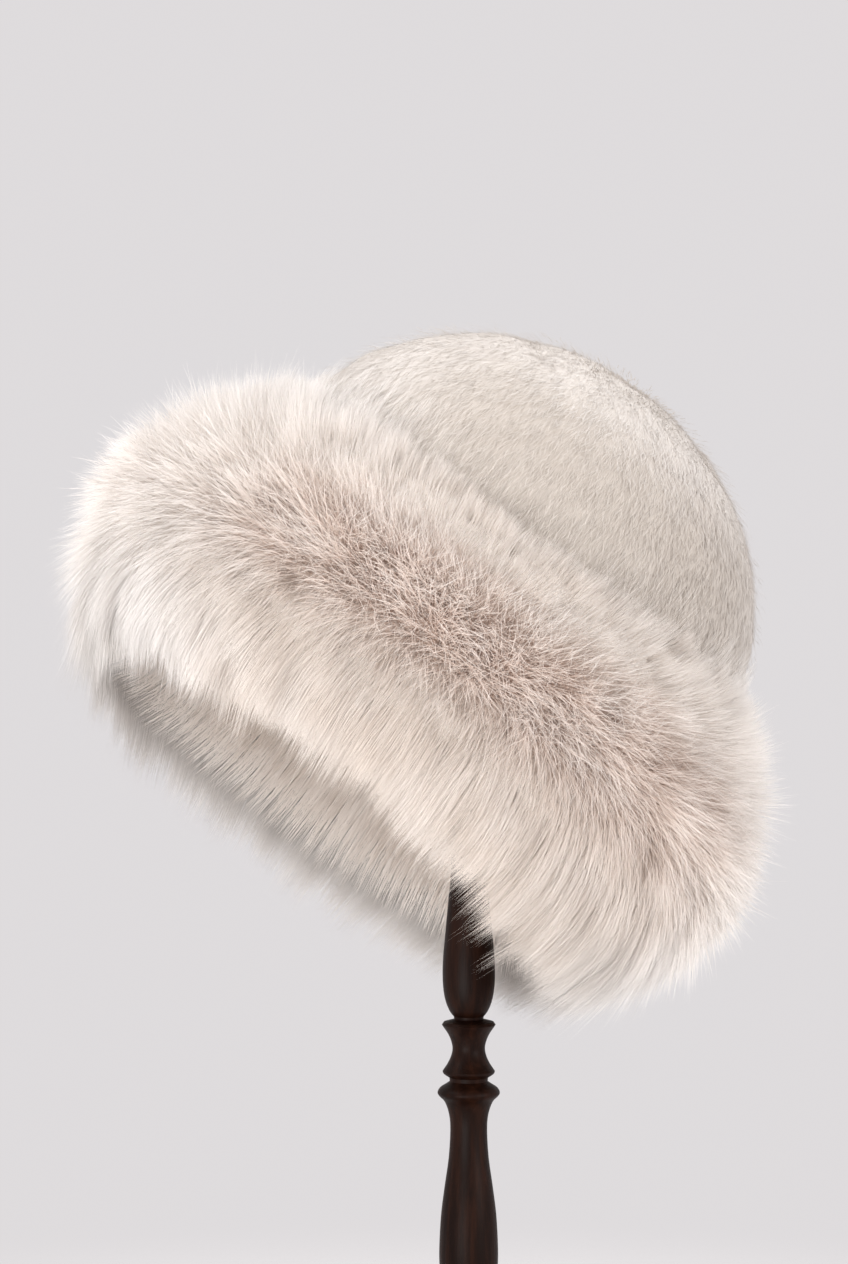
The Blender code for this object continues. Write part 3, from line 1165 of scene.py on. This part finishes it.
    def near_parting(self, down: Array) -> Array:
        """A share that is 1 at the parting and fades on both sides of it."""
        return np.exp(-(((down - PARTING) / self.frizz_width) ** 2))

    def combed(self, down: Array) -> Array:
        """How far the tips lie down the coat from their roots, on each side of the parting.

        Args:
            down: share of the way down the coat.

        Returns:
            The distances, negative above the parting and smaller again at both edges of the coat.
        """
        fringe = 1 - 0.5 * rising(down, 0.85, 1.0)
        cuff = 0.6 + 0.4 * rising(down, 0.0, 0.12)
        below = rising(down, PARTING, self.comb_down_at) * fringe
        above = (1 - rising(down, self.comb_up_at, PARTING)) * cuff
        return self.comb_down * below - self.comb_up * above

    def tips(self, x: Array, y: Array, rng: np.random.Generator) -> tuple[Array, Array, Array]:
        """Combs hairs over the coat's flat map.

        Args:
            x: the way round to each root, in metres.
            y: the way down to it.
            rng: the source of chance.

        Returns:
            The ways round and down to the tips, and how far these stand out of the coat's outline.
        """
        comb, count, down = self.comb, len(x), y / self.arc()
        low, high = rising(down, self.fringe_from, 1.0), rising(down, 0.0, self.cuff_to)
        tuft_x, tuft_y, lean = self.tufts.nearest(x, y)
        spread = 1 - self.gather * high - (self.fringe_gather - self.gather) * low
        tip_x, tip_y = tuft_x + spread * (x - tuft_x), tuft_y + spread * (y - tuft_y)
        lock_x, lock_y, lock = self.locks.nearest(x, y)
        spread = 1 - self.lock_gather * low
        tip_x, tip_y = lock_x + spread * (tip_x - lock_x), lock_y + spread * (tip_y - lock_y)
        stray = comb.stray + self.frizz * self.near_parting(down) + self.loose * low
        feather = stray + self.feather * (1 - high)
        tip_x += comb.wander * lean[:, 0] + rng.normal(0, 1, count) * stray
        tip_x += self.lock_lean * self.sideways.at(x, y)
        tip_y += self.combed(down) + comb.wander * lean[:, 1] + rng.normal(0, 1, count) * feather
        tip_y += self.lock_lean * self.lengthwise.at(x, y)
        out = self.lock_depth * self.deep.at(x, y) + comb.ragged * lean[:, 2]
        out += rng.normal(0, comb.ragged, count) + self.lock_reach * low * lock[:, 2] - self.inset
        out += self.guard.extra(count, rng)
        return tip_x, tip_y, out * (self.cuff_calm + (1 - self.cuff_calm) * high)

    def hairs(self, side: Side, rng: np.random.Generator) -> Hairs:
        """The hairs of one quarter.

        Args:
            side: which quarter.
            rng: the source of chance.

        Returns:
            The hairs.
        """
        shape, scatter, count = self.shape, self.comb.scatter, self.hairs_each
        arc, reach = self.arc(), shape.tip_radius
        across, along = evenly(count)
        middle = math.radians(side.value)
        angle = middle + (across - 0.5) * QUARTER_TURN + rng.normal(0, scatter, count) / reach
        down = np.clip(along + rng.normal(0, scatter, count) / arc, 0, 1)
        x, y = (angle * reach) % (FULL_TURN * reach), down * arc
        tip_x, tip_y, out = self.tips(x, y, rng)
        tip_angle = angle + (tip_x - x) / reach
        tip_down = np.clip(tip_y / arc, 0, 1)
        root_r, root_h, _, _, out_r, out_h = self.rows(down, angle)
        tip_r, tip_h = self.place(tip_down, tip_angle, np.ones(count))
        rise = np.hypot(tip_r - root_r, tip_h - root_h) * self.rise(down)
        root = polar(root_r, root_h, angle)
        bend = polar(root_r + out_r * rise, root_h + out_h * rise, (angle + tip_angle) / 2)
        upright = polar(*self.place(down, angle, np.full(count, self.frizz_height)), angle)
        bend = bend + self.near_parting(down)[:, None] * (upright - bend)
        over = np.clip(-tip_y, 0, self.overlap)
        tip = polar(tip_r - self.overlap_lean * over, tip_h + over, tip_angle)
        tip = tip + unit(tip - root) * out[:, None]
        fall = np.array(self.seat.to_3x3().inverted() @ Vector((0, 0, -1)))
        low = rising(down, self.fringe_from, 1.0)
        tip = tip + fall * (self.sag * (self.sag_least + (1 - self.sag_least) * low))[:, None]
        level = shape.brim_drop * self.facing_level
        facing = unit(polar(tip_r - shape.head_radius, tip_h + level, tip_angle))
        return Hairs(root, bend, tip, facing, way_round(tip_angle), tip_down)

    def beside_wall(self, shares: Array, gap: float, angle: Array) -> Array:
        """Rows of points along the brim's wall.

        Args:
            shares: of the brim's drop, one for each row.
            gap: from the middle of the wall, outwards.
            angle: the directions.

        Returns:
            The grid of points, the way round first.
        """
        radius, height, out_r, out_h = self.shape.wall_middle(shares)
        return spun(radius + out_r * gap, height + out_h * gap, angle)

    def body(self) -> bpy.types.Mesh:
        """The underfur, from the cuff down round the fringe and up the brim's underside.

        Returns:
            The mesh, which wraps the wall closely inside.
        """
        half_wall, clearance = self.shape.brim_wall / 2, self.shape.clearance
        angle = directions(self.body_around)
        down = np.linspace(0, 1, self.body_down)
        around, along = (part.ravel() for part in np.meshgrid(angle, down, indexing="ij"))
        locks = self.deep.at(around * self.shape.tip_radius, along * self.arc())
        depth = self.body_depth + self.body_locks * locks
        depth -= self.body_hem * rising(along, self.body_hem_from, 1.0)
        depth -= self.body_parting * self.near_parting(along)
        radius, height = self.place(along, around, depth)
        outer = polar(radius, height, around).reshape(self.body_around, self.body_down, 3)
        up = np.linspace(1, self.inside_top, 8)
        inner = self.beside_wall(up, -half_wall - self.inside_depth, angle)
        close = np.array([self.inside_top, 0.5, 0.98])
        lining = self.beside_wall(close, -half_wall - clearance, angle)
        backing = self.beside_wall(close[::-1], half_wall + clearance, angle)
        loop = np.concatenate([outer, inner, lining, backing], axis=1)
        # the rows inside the brim take the colours of the coat's lower edge, with its painted shade at
        # the front and painted light at the back
        unseen = np.linspace(1.0, 0.9, loop.shape[1] - self.body_down)
        return surface("brim_underfur", loop, True, self.seat, np.concatenate([down, unseen]))

    def build(self) -> None:
        """Makes the underfur and the hairs of each quarter."""
        dress("brim_underfur", self.body(), BRIM_FUR.underfur(), ["brim_fur"])
        hair = BRIM_FUR.hair()
        for side in Side:
            rng = np.random.default_rng(self.seed + side.value)
            name = f"brim_hair_{side.name.lower()}"
            mesh = hair_mesh(name, self.hairs(side, rng), self.cut, self.seat, rng)
            dress(name, mesh, hair)


@dataclass
class UndersideCoat:
    """The fur on the inner side of the brim, which hangs down towards the fringe."""

    shape: HatShape
    seat: Matrix
    count: int = 36000
    seed: int = 7
    cut: Cut = Cut(width=0.00036, start=0.3, roll=0.1)
    top: float = 0.06  # share of the brim's drop where the fur begins
    root_depth: float = 0.006  # of the roots, in the underfur
    depth: float = 0.014  # from there to the tips
    knee: float = 0.002  # how much further out the hairs bend than their tips lie
    length: float = 0.034
    lengths: tuple[float, float] = (0.75, 1.15)  # of single hairs, as shares of the usual
    depths: tuple[float, float] = (0.75, 1.1)
    overhang: tuple[float, float] = (-0.002, 0.006)  # how far above the fringe's edge they end
    bend_at: float = 0.35  # share of the length where the hairs bend down
    flare: float = 0.42  # how far they swing out with the brim, as a share of their length
    tuft: float = 0.006
    gather: float = 0.25
    wander: float = 0.0008
    stray: float = 0.0014

    def hairs(self, rng: np.random.Generator) -> Hairs:
        """The hairs from the underside's top to inside the fringe.

        Args:
            rng: the source of chance.

        Returns:
            The hairs.
        """
        shape, count = self.shape, self.count
        across, along = evenly(count)
        reach = shape.head_radius + shape.brim_flare / 2
        angle = across * FULL_TURN
        share = self.top + (1 - self.top) * along
        tufts = Tufts(rng, self.tuft, FULL_TURN * reach, shape.brim_drop)
        x = angle * reach
        tuft_x, _, lean = tufts.nearest(x, share * shape.brim_drop)
        lean = lean * self.wander
        radius, height, out_r, out_h = shape.wall_middle(share)
        gap = shape.brim_wall / 2 + self.root_depth
        root = polar(radius - out_r * gap, height - out_h * gap, angle)
        length = self.length * (0.8 + 0.5 * share) * rng.uniform(*self.lengths, count)
        lift = self.depth * rng.uniform(*self.depths, count) + gap
        aside = self.gather * (tuft_x - x) + lean[:, 0] + rng.normal(0, self.stray, count)
        tip_angle = angle + aside / reach
        knee = lift + self.knee
        knee_h = height - out_h * knee - length * self.bend_at
        bend = polar(radius - out_r * knee, knee_h, angle)
        tip_r = radius - out_r * lift + self.flare * length * share + lean[:, 1]
        lowest = -shape.brim_drop - shape.fringe_length + shape.lift(angle)[1]
        lowest = lowest + rng.uniform(*self.overhang, count)
        tip_h = np.maximum(height - out_h * lift - length, lowest)
        tip = polar(tip_r, tip_h, tip_angle)
        facing = polar(-out_r, -out_h, angle)
        # painted shade: maps the hairs so that the darker colours are strongest at the underside's top
        # and fade towards the fringe
        down = PARTING + PARTING_WIDTH * share
        return Hairs(root, bend, tip, facing, way_round(tip_angle), down)

    def build(self) -> None:
        """Makes the hairs."""
        rng = np.random.default_rng(self.seed)
        mesh = hair_mesh("brim_underside_hair", self.hairs(rng), self.cut, self.seat, rng)
        dress("brim_underside_hair", mesh, UNDERSIDE_FUR.hair())


@dataclass
class CrownCoat:
    """The short dense pile of the crown, combed from its top down to the brim."""

    shape: HatShape
    seat: Matrix
    body_depth: float = 0.87  # share of the pile that is soft underfur
    body_around: int = 200
    body_down: int = 70
    body_from: float = 0.001  # the dome is 0 at its top and 1 at its foot
    body_to: float = 1.03
    count: int = 60000
    span: float = 1.06  # share of the dome's height over which the hairs stand
    least_circle: float = 0.03  # keeps the hairs at the very top from turning too far
    seed: int = 900  # of the hairs
    hill_seed: int = 5
    cut: Cut = Cut(width=0.00030, start=0.6, roll=0.02)
    comb: Comb = Comb(tuft=0.0120, wander=0.0005, stray=0.0022, ragged=0.0003, scatter=0.0005)
    guard: GuardHairs = GuardHairs(share=0.25, reach=0.0016)
    lean: float = 0.013  # how far the tips lie below their roots
    root_depth: float = 0.45  # share of the pile's depth where the roots are hidden
    inset: float = 0.0012  # how far the usual tips lie inside the pile's outline
    knee_inset: float = 0.0014  # the same for the place where the hairs bend
    knee: float = 0.3  # share of the lean where they do
    hill: float = 0.0004
    hill_size: float = 0.030

    def __post_init__(self) -> None:
        """Draws the fields of low hills and of tufts in the pile."""
        rng = np.random.default_rng(self.hill_seed)
        self.hills = Waves(rng, self.hill_size)
        self.tufts = [Waves(rng, self.comb.tuft) for _ in range(2)]

    def spot(self, way: Array, angle: Array, height: Array) -> tuple[Array, Array]:
        """A point of the pile.

        Args:
            way: 0 at the crown's top and 1 where the dome ends.
            angle: direction from the hat's axis.
            height: metres above the outside of the wall.

        Returns:
            The point and the way out of the crown.
        """
        shape = self.shape
        radius = shape.wall_radius + shape.clearance + height
        rise = shape.crown_rise + shape.crown_wall + shape.clearance + height
        turn = np.minimum(way, 1) * QUARTER_TURN
        straight = np.maximum(way - 1, 0) * radius * QUARTER_TURN
        level = shape.crown_side + rise * np.cos(turn) - straight
        point = polar(radius * np.sin(turn), level, angle)
        return point, unit(polar(np.sin(turn) / radius, np.cos(turn) / rise, angle))

    def hill_at(self, way: Array, angle: Array) -> Array:
        """Height of the low hills in metres."""
        flat = way * self.shape.pile_radius * QUARTER_TURN
        return self.hill * self.hills.at(flat * np.cos(angle), flat * np.sin(angle))

    def body(self) -> bpy.types.Mesh:
        """The underfur, a thick domed skin.

        Returns:
            The mesh.
        """
        way = np.linspace(self.body_from, self.body_to, self.body_down)
        around, along = np.meshgrid(directions(self.body_around), way, indexing="ij")
        height = self.shape.crown_pile * self.body_depth + self.hill_at(along, around)
        outer, _ = self.spot(along, around, height)
        back = slice(None, None, -4)  # the inside needs fewer rows
        inner, _ = self.spot(along[:, back], around[:, back], 0 * along[:, back])
        shell = np.concatenate([outer, inner], axis=1)
        shares = np.clip(np.concatenate([way, way[back]]), 0, 1)
        return surface("crown_underfur", shell, True, self.seat, shares)

    def hairs(self, rng: np.random.Generator, part: int) -> Hairs:
        """The pile's hairs.

        Args:
            rng: the source of chance.
            part: 0 or 1, for every other hair.

        Returns:
            The hairs.
        """
        shape, comb = self.shape, self.comb
        arc = shape.pile_radius * QUARTER_TURN
        number = np.arange(part, self.count, 2)
        count = len(number)
        level = 1 - self.span * (number + 0.5) / self.count
        way = np.arccos(level) / QUARTER_TURN + rng.normal(0, comb.scatter, count) / arc
        circle = np.maximum(np.sin(way * QUARTER_TURN), self.least_circle) * shape.pile_radius
        angle = number * GOLDEN_ANGLE + rng.normal(0, comb.scatter, count) / circle
        x, y = way * arc * np.cos(angle), way * arc * np.sin(angle)
        wander = [comb.wander * field.at(x, y) for field in self.tufts]
        down = self.lean + wander[0] + rng.normal(0, comb.stray, count)
        across = wander[1] + rng.normal(0, comb.stray, count)
        tip_way, tip_angle = way + down / arc, angle + across / circle
        height = shape.crown_pile + rng.normal(0, comb.ragged, count)
        height += self.guard.extra(count, rng)
        knee_way = way + self.knee * down / arc
        root, _ = self.spot(way, angle, shape.crown_pile * self.root_depth + 0 * way)
        tip_height = height - self.inset + self.hill_at(tip_way, tip_angle)
        tip, out = self.spot(tip_way, tip_angle, tip_height)
        knee_height = height - self.knee_inset + self.hill_at(knee_way, angle)
        bend, _ = self.spot(knee_way, angle, knee_height)
        return Hairs(root, bend, tip, out, way_round(angle), np.clip(way, 0, 1))

    def build(self) -> None:
        """Makes the underfur and the hairs, in two pieces."""
        dress("crown_underfur", self.body(), CROWN_FUR.underfur(), ["crown_fur"])
        hair = CROWN_FUR.hair()
        for part in range(2):
            rng = np.random.default_rng(self.seed + part)
            name = f"crown_hair_{part + 1}"
            mesh = hair_mesh(name, self.hairs(rng, part), self.cut, self.seat, rng)
            dress(name, mesh, hair)


@dataclass
class Pelts:
    """The skins that carry the fur: the crown's dome and the brim's double wall."""

    shape: HatShape
    seat: Matrix
    sides: int = 96
    rings: int = 22
    bevel: float = 0.0004  # along the crown's hem

    def build(self) -> None:
        """Makes both skins as smooth shells."""
        shape = self.shape
        suede = PELT.material()
        turn = np.linspace(0.002, QUARTER_TURN, self.rings)
        outside = self.dome(shape.wall_radius, shape.crown_rise + shape.crown_wall, turn)
        inside = self.dome(shape.head_radius, shape.crown_rise, turn)
        hem = np.array([
            (shape.wall_radius - self.bevel, 2 * self.bevel),
            (shape.wall_radius - shape.crown_wall / 2, self.bevel / 2),
            (shape.head_radius + self.bevel, 2 * self.bevel),
        ])
        self.spin("crown_pelt", np.concatenate([outside, hem, inside[::-1]]), suede, "crown_wall")
        radius, height, out_r, out_h = shape.wall_middle(np.linspace(0, 1, 16))
        half = shape.brim_wall / 2
        down = np.stack([radius + half * out_r, height + half * out_h], axis=1)
        up = np.stack([radius - half * out_r, height - half * out_h], axis=1)
        down[0, 1] = up[0, 1] = height[0]
        arc = np.linspace(0, math.pi, 8)[1:-1]
        edge_r = radius[-1] + half * (np.cos(arc) * out_r[-1] + np.sin(arc) * out_h[-1])
        edge_h = height[-1] + half * (np.cos(arc) * out_h[-1] - np.sin(arc) * out_r[-1])
        edge = np.stack([edge_r, edge_h], axis=1)
        self.spin("brim_pelt", np.concatenate([down, edge, up[::-1]]), suede, "brim_wall")

    def dome(self, radius: float, rise: float, turn: Array) -> Array:
        """Points of a dome's profile.

        Args:
            radius: at its foot.
            rise: its height.
            turn: angles from the top.

        Returns:
            Rows of radius and height.
        """
        return np.stack([radius * np.sin(turn), self.shape.crown_side + rise * np.cos(turn)], axis=1)

    def spin(self, name: str, profile: Array, material: bpy.types.Material, node: str) -> None:
        """Makes a shell round the hat's axis.

        Args:
            name: the piece's name.
            profile: rows of radius and height, a loop.
            material: its finish.
            node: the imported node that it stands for.
        """
        points = spun(profile[:, 0], profile[:, 1], directions(self.sides))
        mesh = surface(name, points, True, self.seat)
        dress(name, mesh, material, [node])


# Stand


class Turning(NamedTuple):
    """A point on a turned profile."""

    height: float  # share of the piece's height, from its foot
    radius: float  # share of its largest radius
    crisp: bool = False  # an edge that the turner left sharp


SPINDLE = (
    Turning(1.000, 0.56, True),
    Turning(0.800, 0.56),
    Turning(0.600, 0.575),
    Turning(0.563, 0.64),
    Turning(0.523, 0.75),
    Turning(0.497, 0.82),
    Turning(0.477, 0.84),
    Turning(0.460, 0.81),
    Turning(0.447, 0.73),
    Turning(0.437, 0.60),
    Turning(0.432, 0.48, True),
    Turning(0.429, 0.47, True),
    Turning(0.426, 0.80, True),
    Turning(0.423, 0.86, True),
    Turning(0.420, 0.80),
    Turning(0.413, 0.66),
    Turning(0.405, 0.56),
    Turning(0.397, 0.52),
    Turning(0.389, 0.57),
    Turning(0.381, 0.68),
    Turning(0.373, 0.84, True),
    Turning(0.370, 0.80),
    Turning(0.366, 0.62, True),
    Turning(0.362, 0.61, True),
    Turning(0.359, 0.74),
    Turning(0.355, 0.92),
    Turning(0.350, 1.00),
    Turning(0.346, 0.94),
    Turning(0.340, 0.77),
    Turning(0.327, 0.635),
    Turning(0.310, 0.59),
    Turning(0.280, 0.64),
    Turning(0.250, 0.765),
    Turning(0.220, 0.88),
    Turning(0.190, 0.935),
    Turning(0.165, 0.94),
    Turning(0.130, 0.86),
    Turning(0.095, 0.70),
    Turning(0.072, 0.62, True),
    Turning(0.060, 0.72),
    Turning(0.050, 0.98),
    Turning(0.036, 0.98),
    Turning(0.027, 0.78, True),
    Turning(0.000, 0.95, True),
)

KNOB = (
    Turning(0.990, 0.22, True),
    Turning(0.955, 0.46),
    Turning(0.890, 0.69),
    Turning(0.790, 0.87),
    Turning(0.660, 0.98),
    Turning(0.540, 1.00),
    Turning(0.420, 0.94),
    Turning(0.310, 0.78),
    Turning(0.210, 0.56),
    Turning(0.120, 0.40),
    Turning(0.000, 0.36, True),
)

FOOT = (
    Turning(1.000, 0.163, True),
    Turning(0.975, 0.30),
    Turning(0.895, 0.45),
    Turning(0.760, 0.63),
    Turning(0.570, 0.80),
    Turning(0.350, 0.955, True),
    Turning(0.300, 0.985, True),
    Turning(0.240, 1.00, True),
    Turning(0.070, 1.00, True),
    Turning(0.000, 0.985, True),
)


@dataclass
class Stand:
    """The turned stand: knob, spindle and foot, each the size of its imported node."""

    sides: int = 72
    steps: int = 3  # between two rows of a smooth stretch
    crease: float = math.radians(34)  # edges sharper than this aren't smoothed

    def build(self) -> None:
        """Turns the three pieces."""
        wood = WOOD.material()
        for name, node, table in (
            ("turned_knob", "stand_knob", KNOB),
            ("turned_spindle", "stand_spindle", SPINDLE),
            ("turned_foot", "stand_foot", FOOT),
        ):
            self.turn(name, node, table, wood)

    def profile(self, table: Sequence[Turning]) -> Array:
        """A fine profile, smooth between the table's crisp rows.

        Args:
            table: the turner's profile from the top down.

        Returns:
            Rows of height and radius as shares.
        """
        rows = np.array([(row.height, row.radius) for row in table])
        edges = [number for number, row in enumerate(table) if row.crisp]
        pieces = []
        for first, last in zip(edges, edges[1:]):
            steps = (last - first) * self.steps if last - first > 1 else 1
            pieces.append(spline(rows[first : last + 1], np.linspace(0, 1, steps + 1))[:-1])
        return np.concatenate(pieces + [rows[-1:]])

    def turn(
        self, name: str, node: str, table: Sequence[Turning], material: bpy.types.Material
    ) -> None:
        """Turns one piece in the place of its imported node.

        Args:
            name: the piece's name.
            node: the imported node.
            table: its profile.
            material: its finish.
        """
        low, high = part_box(node)
        shares = self.profile(table)
        heights = low[2] + shares[:, 0] * (high[2] - low[2])
        radii = shares[:, 1] * (high[0] - low[0]) / 2
        points = spun(radii, heights, directions(self.sides))
        side = surface(name, points, False, Matrix.Identity(4))
        count = len(shares)
        top = list(range(0, self.sides * count, count))
        foot = [number + count - 1 for number in reversed(top)]
        corners = [tuple(vertex.co) for vertex in side.vertices]
        faces = [tuple(face.vertices) for face in side.polygons]
        mesh = bpy.data.meshes.new(name)
        mesh.from_pydata(corners, [], faces + [top, foot])
        mesh.shade_smooth()
        mesh.set_sharp_from_angle(angle=self.crease)
        dress(name, mesh, material, [node])


# Surroundings


class Lamp(NamedTuple):
    """A soft round lamp that looks at the hat."""

    name: str
    place: tuple[float, float, float]
    size: float  # metres across
    power: float  # in watts
    colour: Colour


LAMPS = (
    Lamp("key", (-1.7, -0.6, 2.4), 1.8, 24.0, (1.0, 0.99, 0.98)),
    Lamp("fill", (1.9, -1.5, 0.8), 1.6, 25.0, (1.0, 0.98, 0.965)),
    Lamp("low_fill", (-0.9, -1.9, -0.3), 1.4, 30.0, (1.0, 0.98, 0.96)),
    Lamp("top", (0.1, 0.1, 2.5), 1.4, 22.0, (1.0, 0.99, 0.985)),
)


@dataclass
class Studio:
    """Pale floor, soft light and the camera at the photograph's angle."""

    pixel: float = 0.00044  # metres in the photograph, at the hat
    distance: float = 1.8
    elevation: float = math.radians(2.0)
    post_x: float = 468.9  # the spindle's axis in the photograph
    knob_y: float = 382.0  # the knob's top in the photograph
    sensor: float = 36.0  # in millimetres
    world: Colour = (0.735, 0.712, 0.722)
    hat_height: float = 0.38  # where the lamps look
    floor_radius: float = 0.7
    floor_sides: int = 96
    floor_gap: float = 0.0002  # below the foot

    def build(self) -> None:
        """Makes the floor, the world, the lamps and the camera."""
        self.floor()
        self.surroundings()
        for lamp in LAMPS:
            self.hang(lamp)
        self.camera()

    def floor(self) -> None:
        """A wide disc under the stand."""
        mesh = bpy.data.meshes.new("floor")
        angle = directions(self.floor_sides)
        rim = polar(np.full(self.floor_sides, self.floor_radius), 0 * angle, angle)
        mesh.from_pydata(rim, [], [tuple(range(self.floor_sides))])
        piece = bpy.data.objects.new("floor", mesh)
        piece.location.z = cad_bounds[0][2] - self.floor_gap
        piece.data.materials.append(FLOOR.material())
        bpy.context.scene.collection.objects.link(piece)

    def surroundings(self) -> None:
        """A pale world of one colour."""
        world = bpy.data.worlds.new("studio")
        world.use_nodes = True
        shade = world.node_tree.nodes["Background"]
        shade.inputs["Color"].default_value = (*self.world, 1.0)
        shade.inputs["Strength"].default_value = 1.0
        bpy.context.scene.world = world
        bpy.context.scene.view_settings.view_transform = "Standard"

    def hang(self, lamp: Lamp) -> None:
        """Hangs a lamp.

        Args:
            lamp: its place, size and light.
        """
        data = bpy.data.lights.new(lamp.name, "AREA")
        data.shape = "DISK"
        data.size = lamp.size
        data.energy = lamp.power
        data.color = lamp.colour
        holder = bpy.data.objects.new(lamp.name, data)
        holder.location = lamp.place
        towards = Vector((0, 0, self.hat_height)) - holder.location
        holder.rotation_euler = towards.to_track_quat("-Z", "Y").to_euler()
        bpy.context.scene.collection.objects.link(holder)

    def camera(self) -> None:
        """A long lens in front of the hat, framed as the photograph is."""
        width, height = IMAGE_SIZE
        knob_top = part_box("stand_knob")[1][2]
        middle = Vector((
            (width / 2 - self.post_x) * self.pixel,
            0.0,
            knob_top - (height / 2 - self.knob_y) * self.pixel,
        ))
        data = bpy.data.cameras.new("camera")
        data.sensor_width = self.sensor
        data.lens = self.sensor * self.distance / (height * self.pixel)
        data.clip_end = 50.0
        camera = bpy.data.objects.new("camera", data)
        back = Vector((0, -math.cos(self.elevation), math.sin(self.elevation)))
        camera.location = middle + back * self.distance
        camera.rotation_euler = (math.pi / 2 - self.elevation, 0.0, 0.0)
        bpy.context.scene.collection.objects.link(camera)
        bpy.context.scene.camera = camera


def main() -> None:
    """Builds the stand, the hat and the studio in order."""
    logging.basicConfig(level=logging.INFO, format="%(message)s")
    shape = HatShape()
    seat = shape.seat()
    builders: Sequence[tuple[str, Callable[[], None]]] = (
        ("stand", Stand().build),
        ("pelts", Pelts(shape, seat).build),
        ("crown", CrownCoat(shape, seat).build),
        ("brim", BrimCoat(shape, seat).build),
        ("underside", UndersideCoat(shape, seat).build),
        ("studio", Studio().build),
    )
    for name, build in builders:
        build()
        log.info("built the %s", name)
    bpy.context.view_layer.update()


if __name__ == "__main__":
    main()
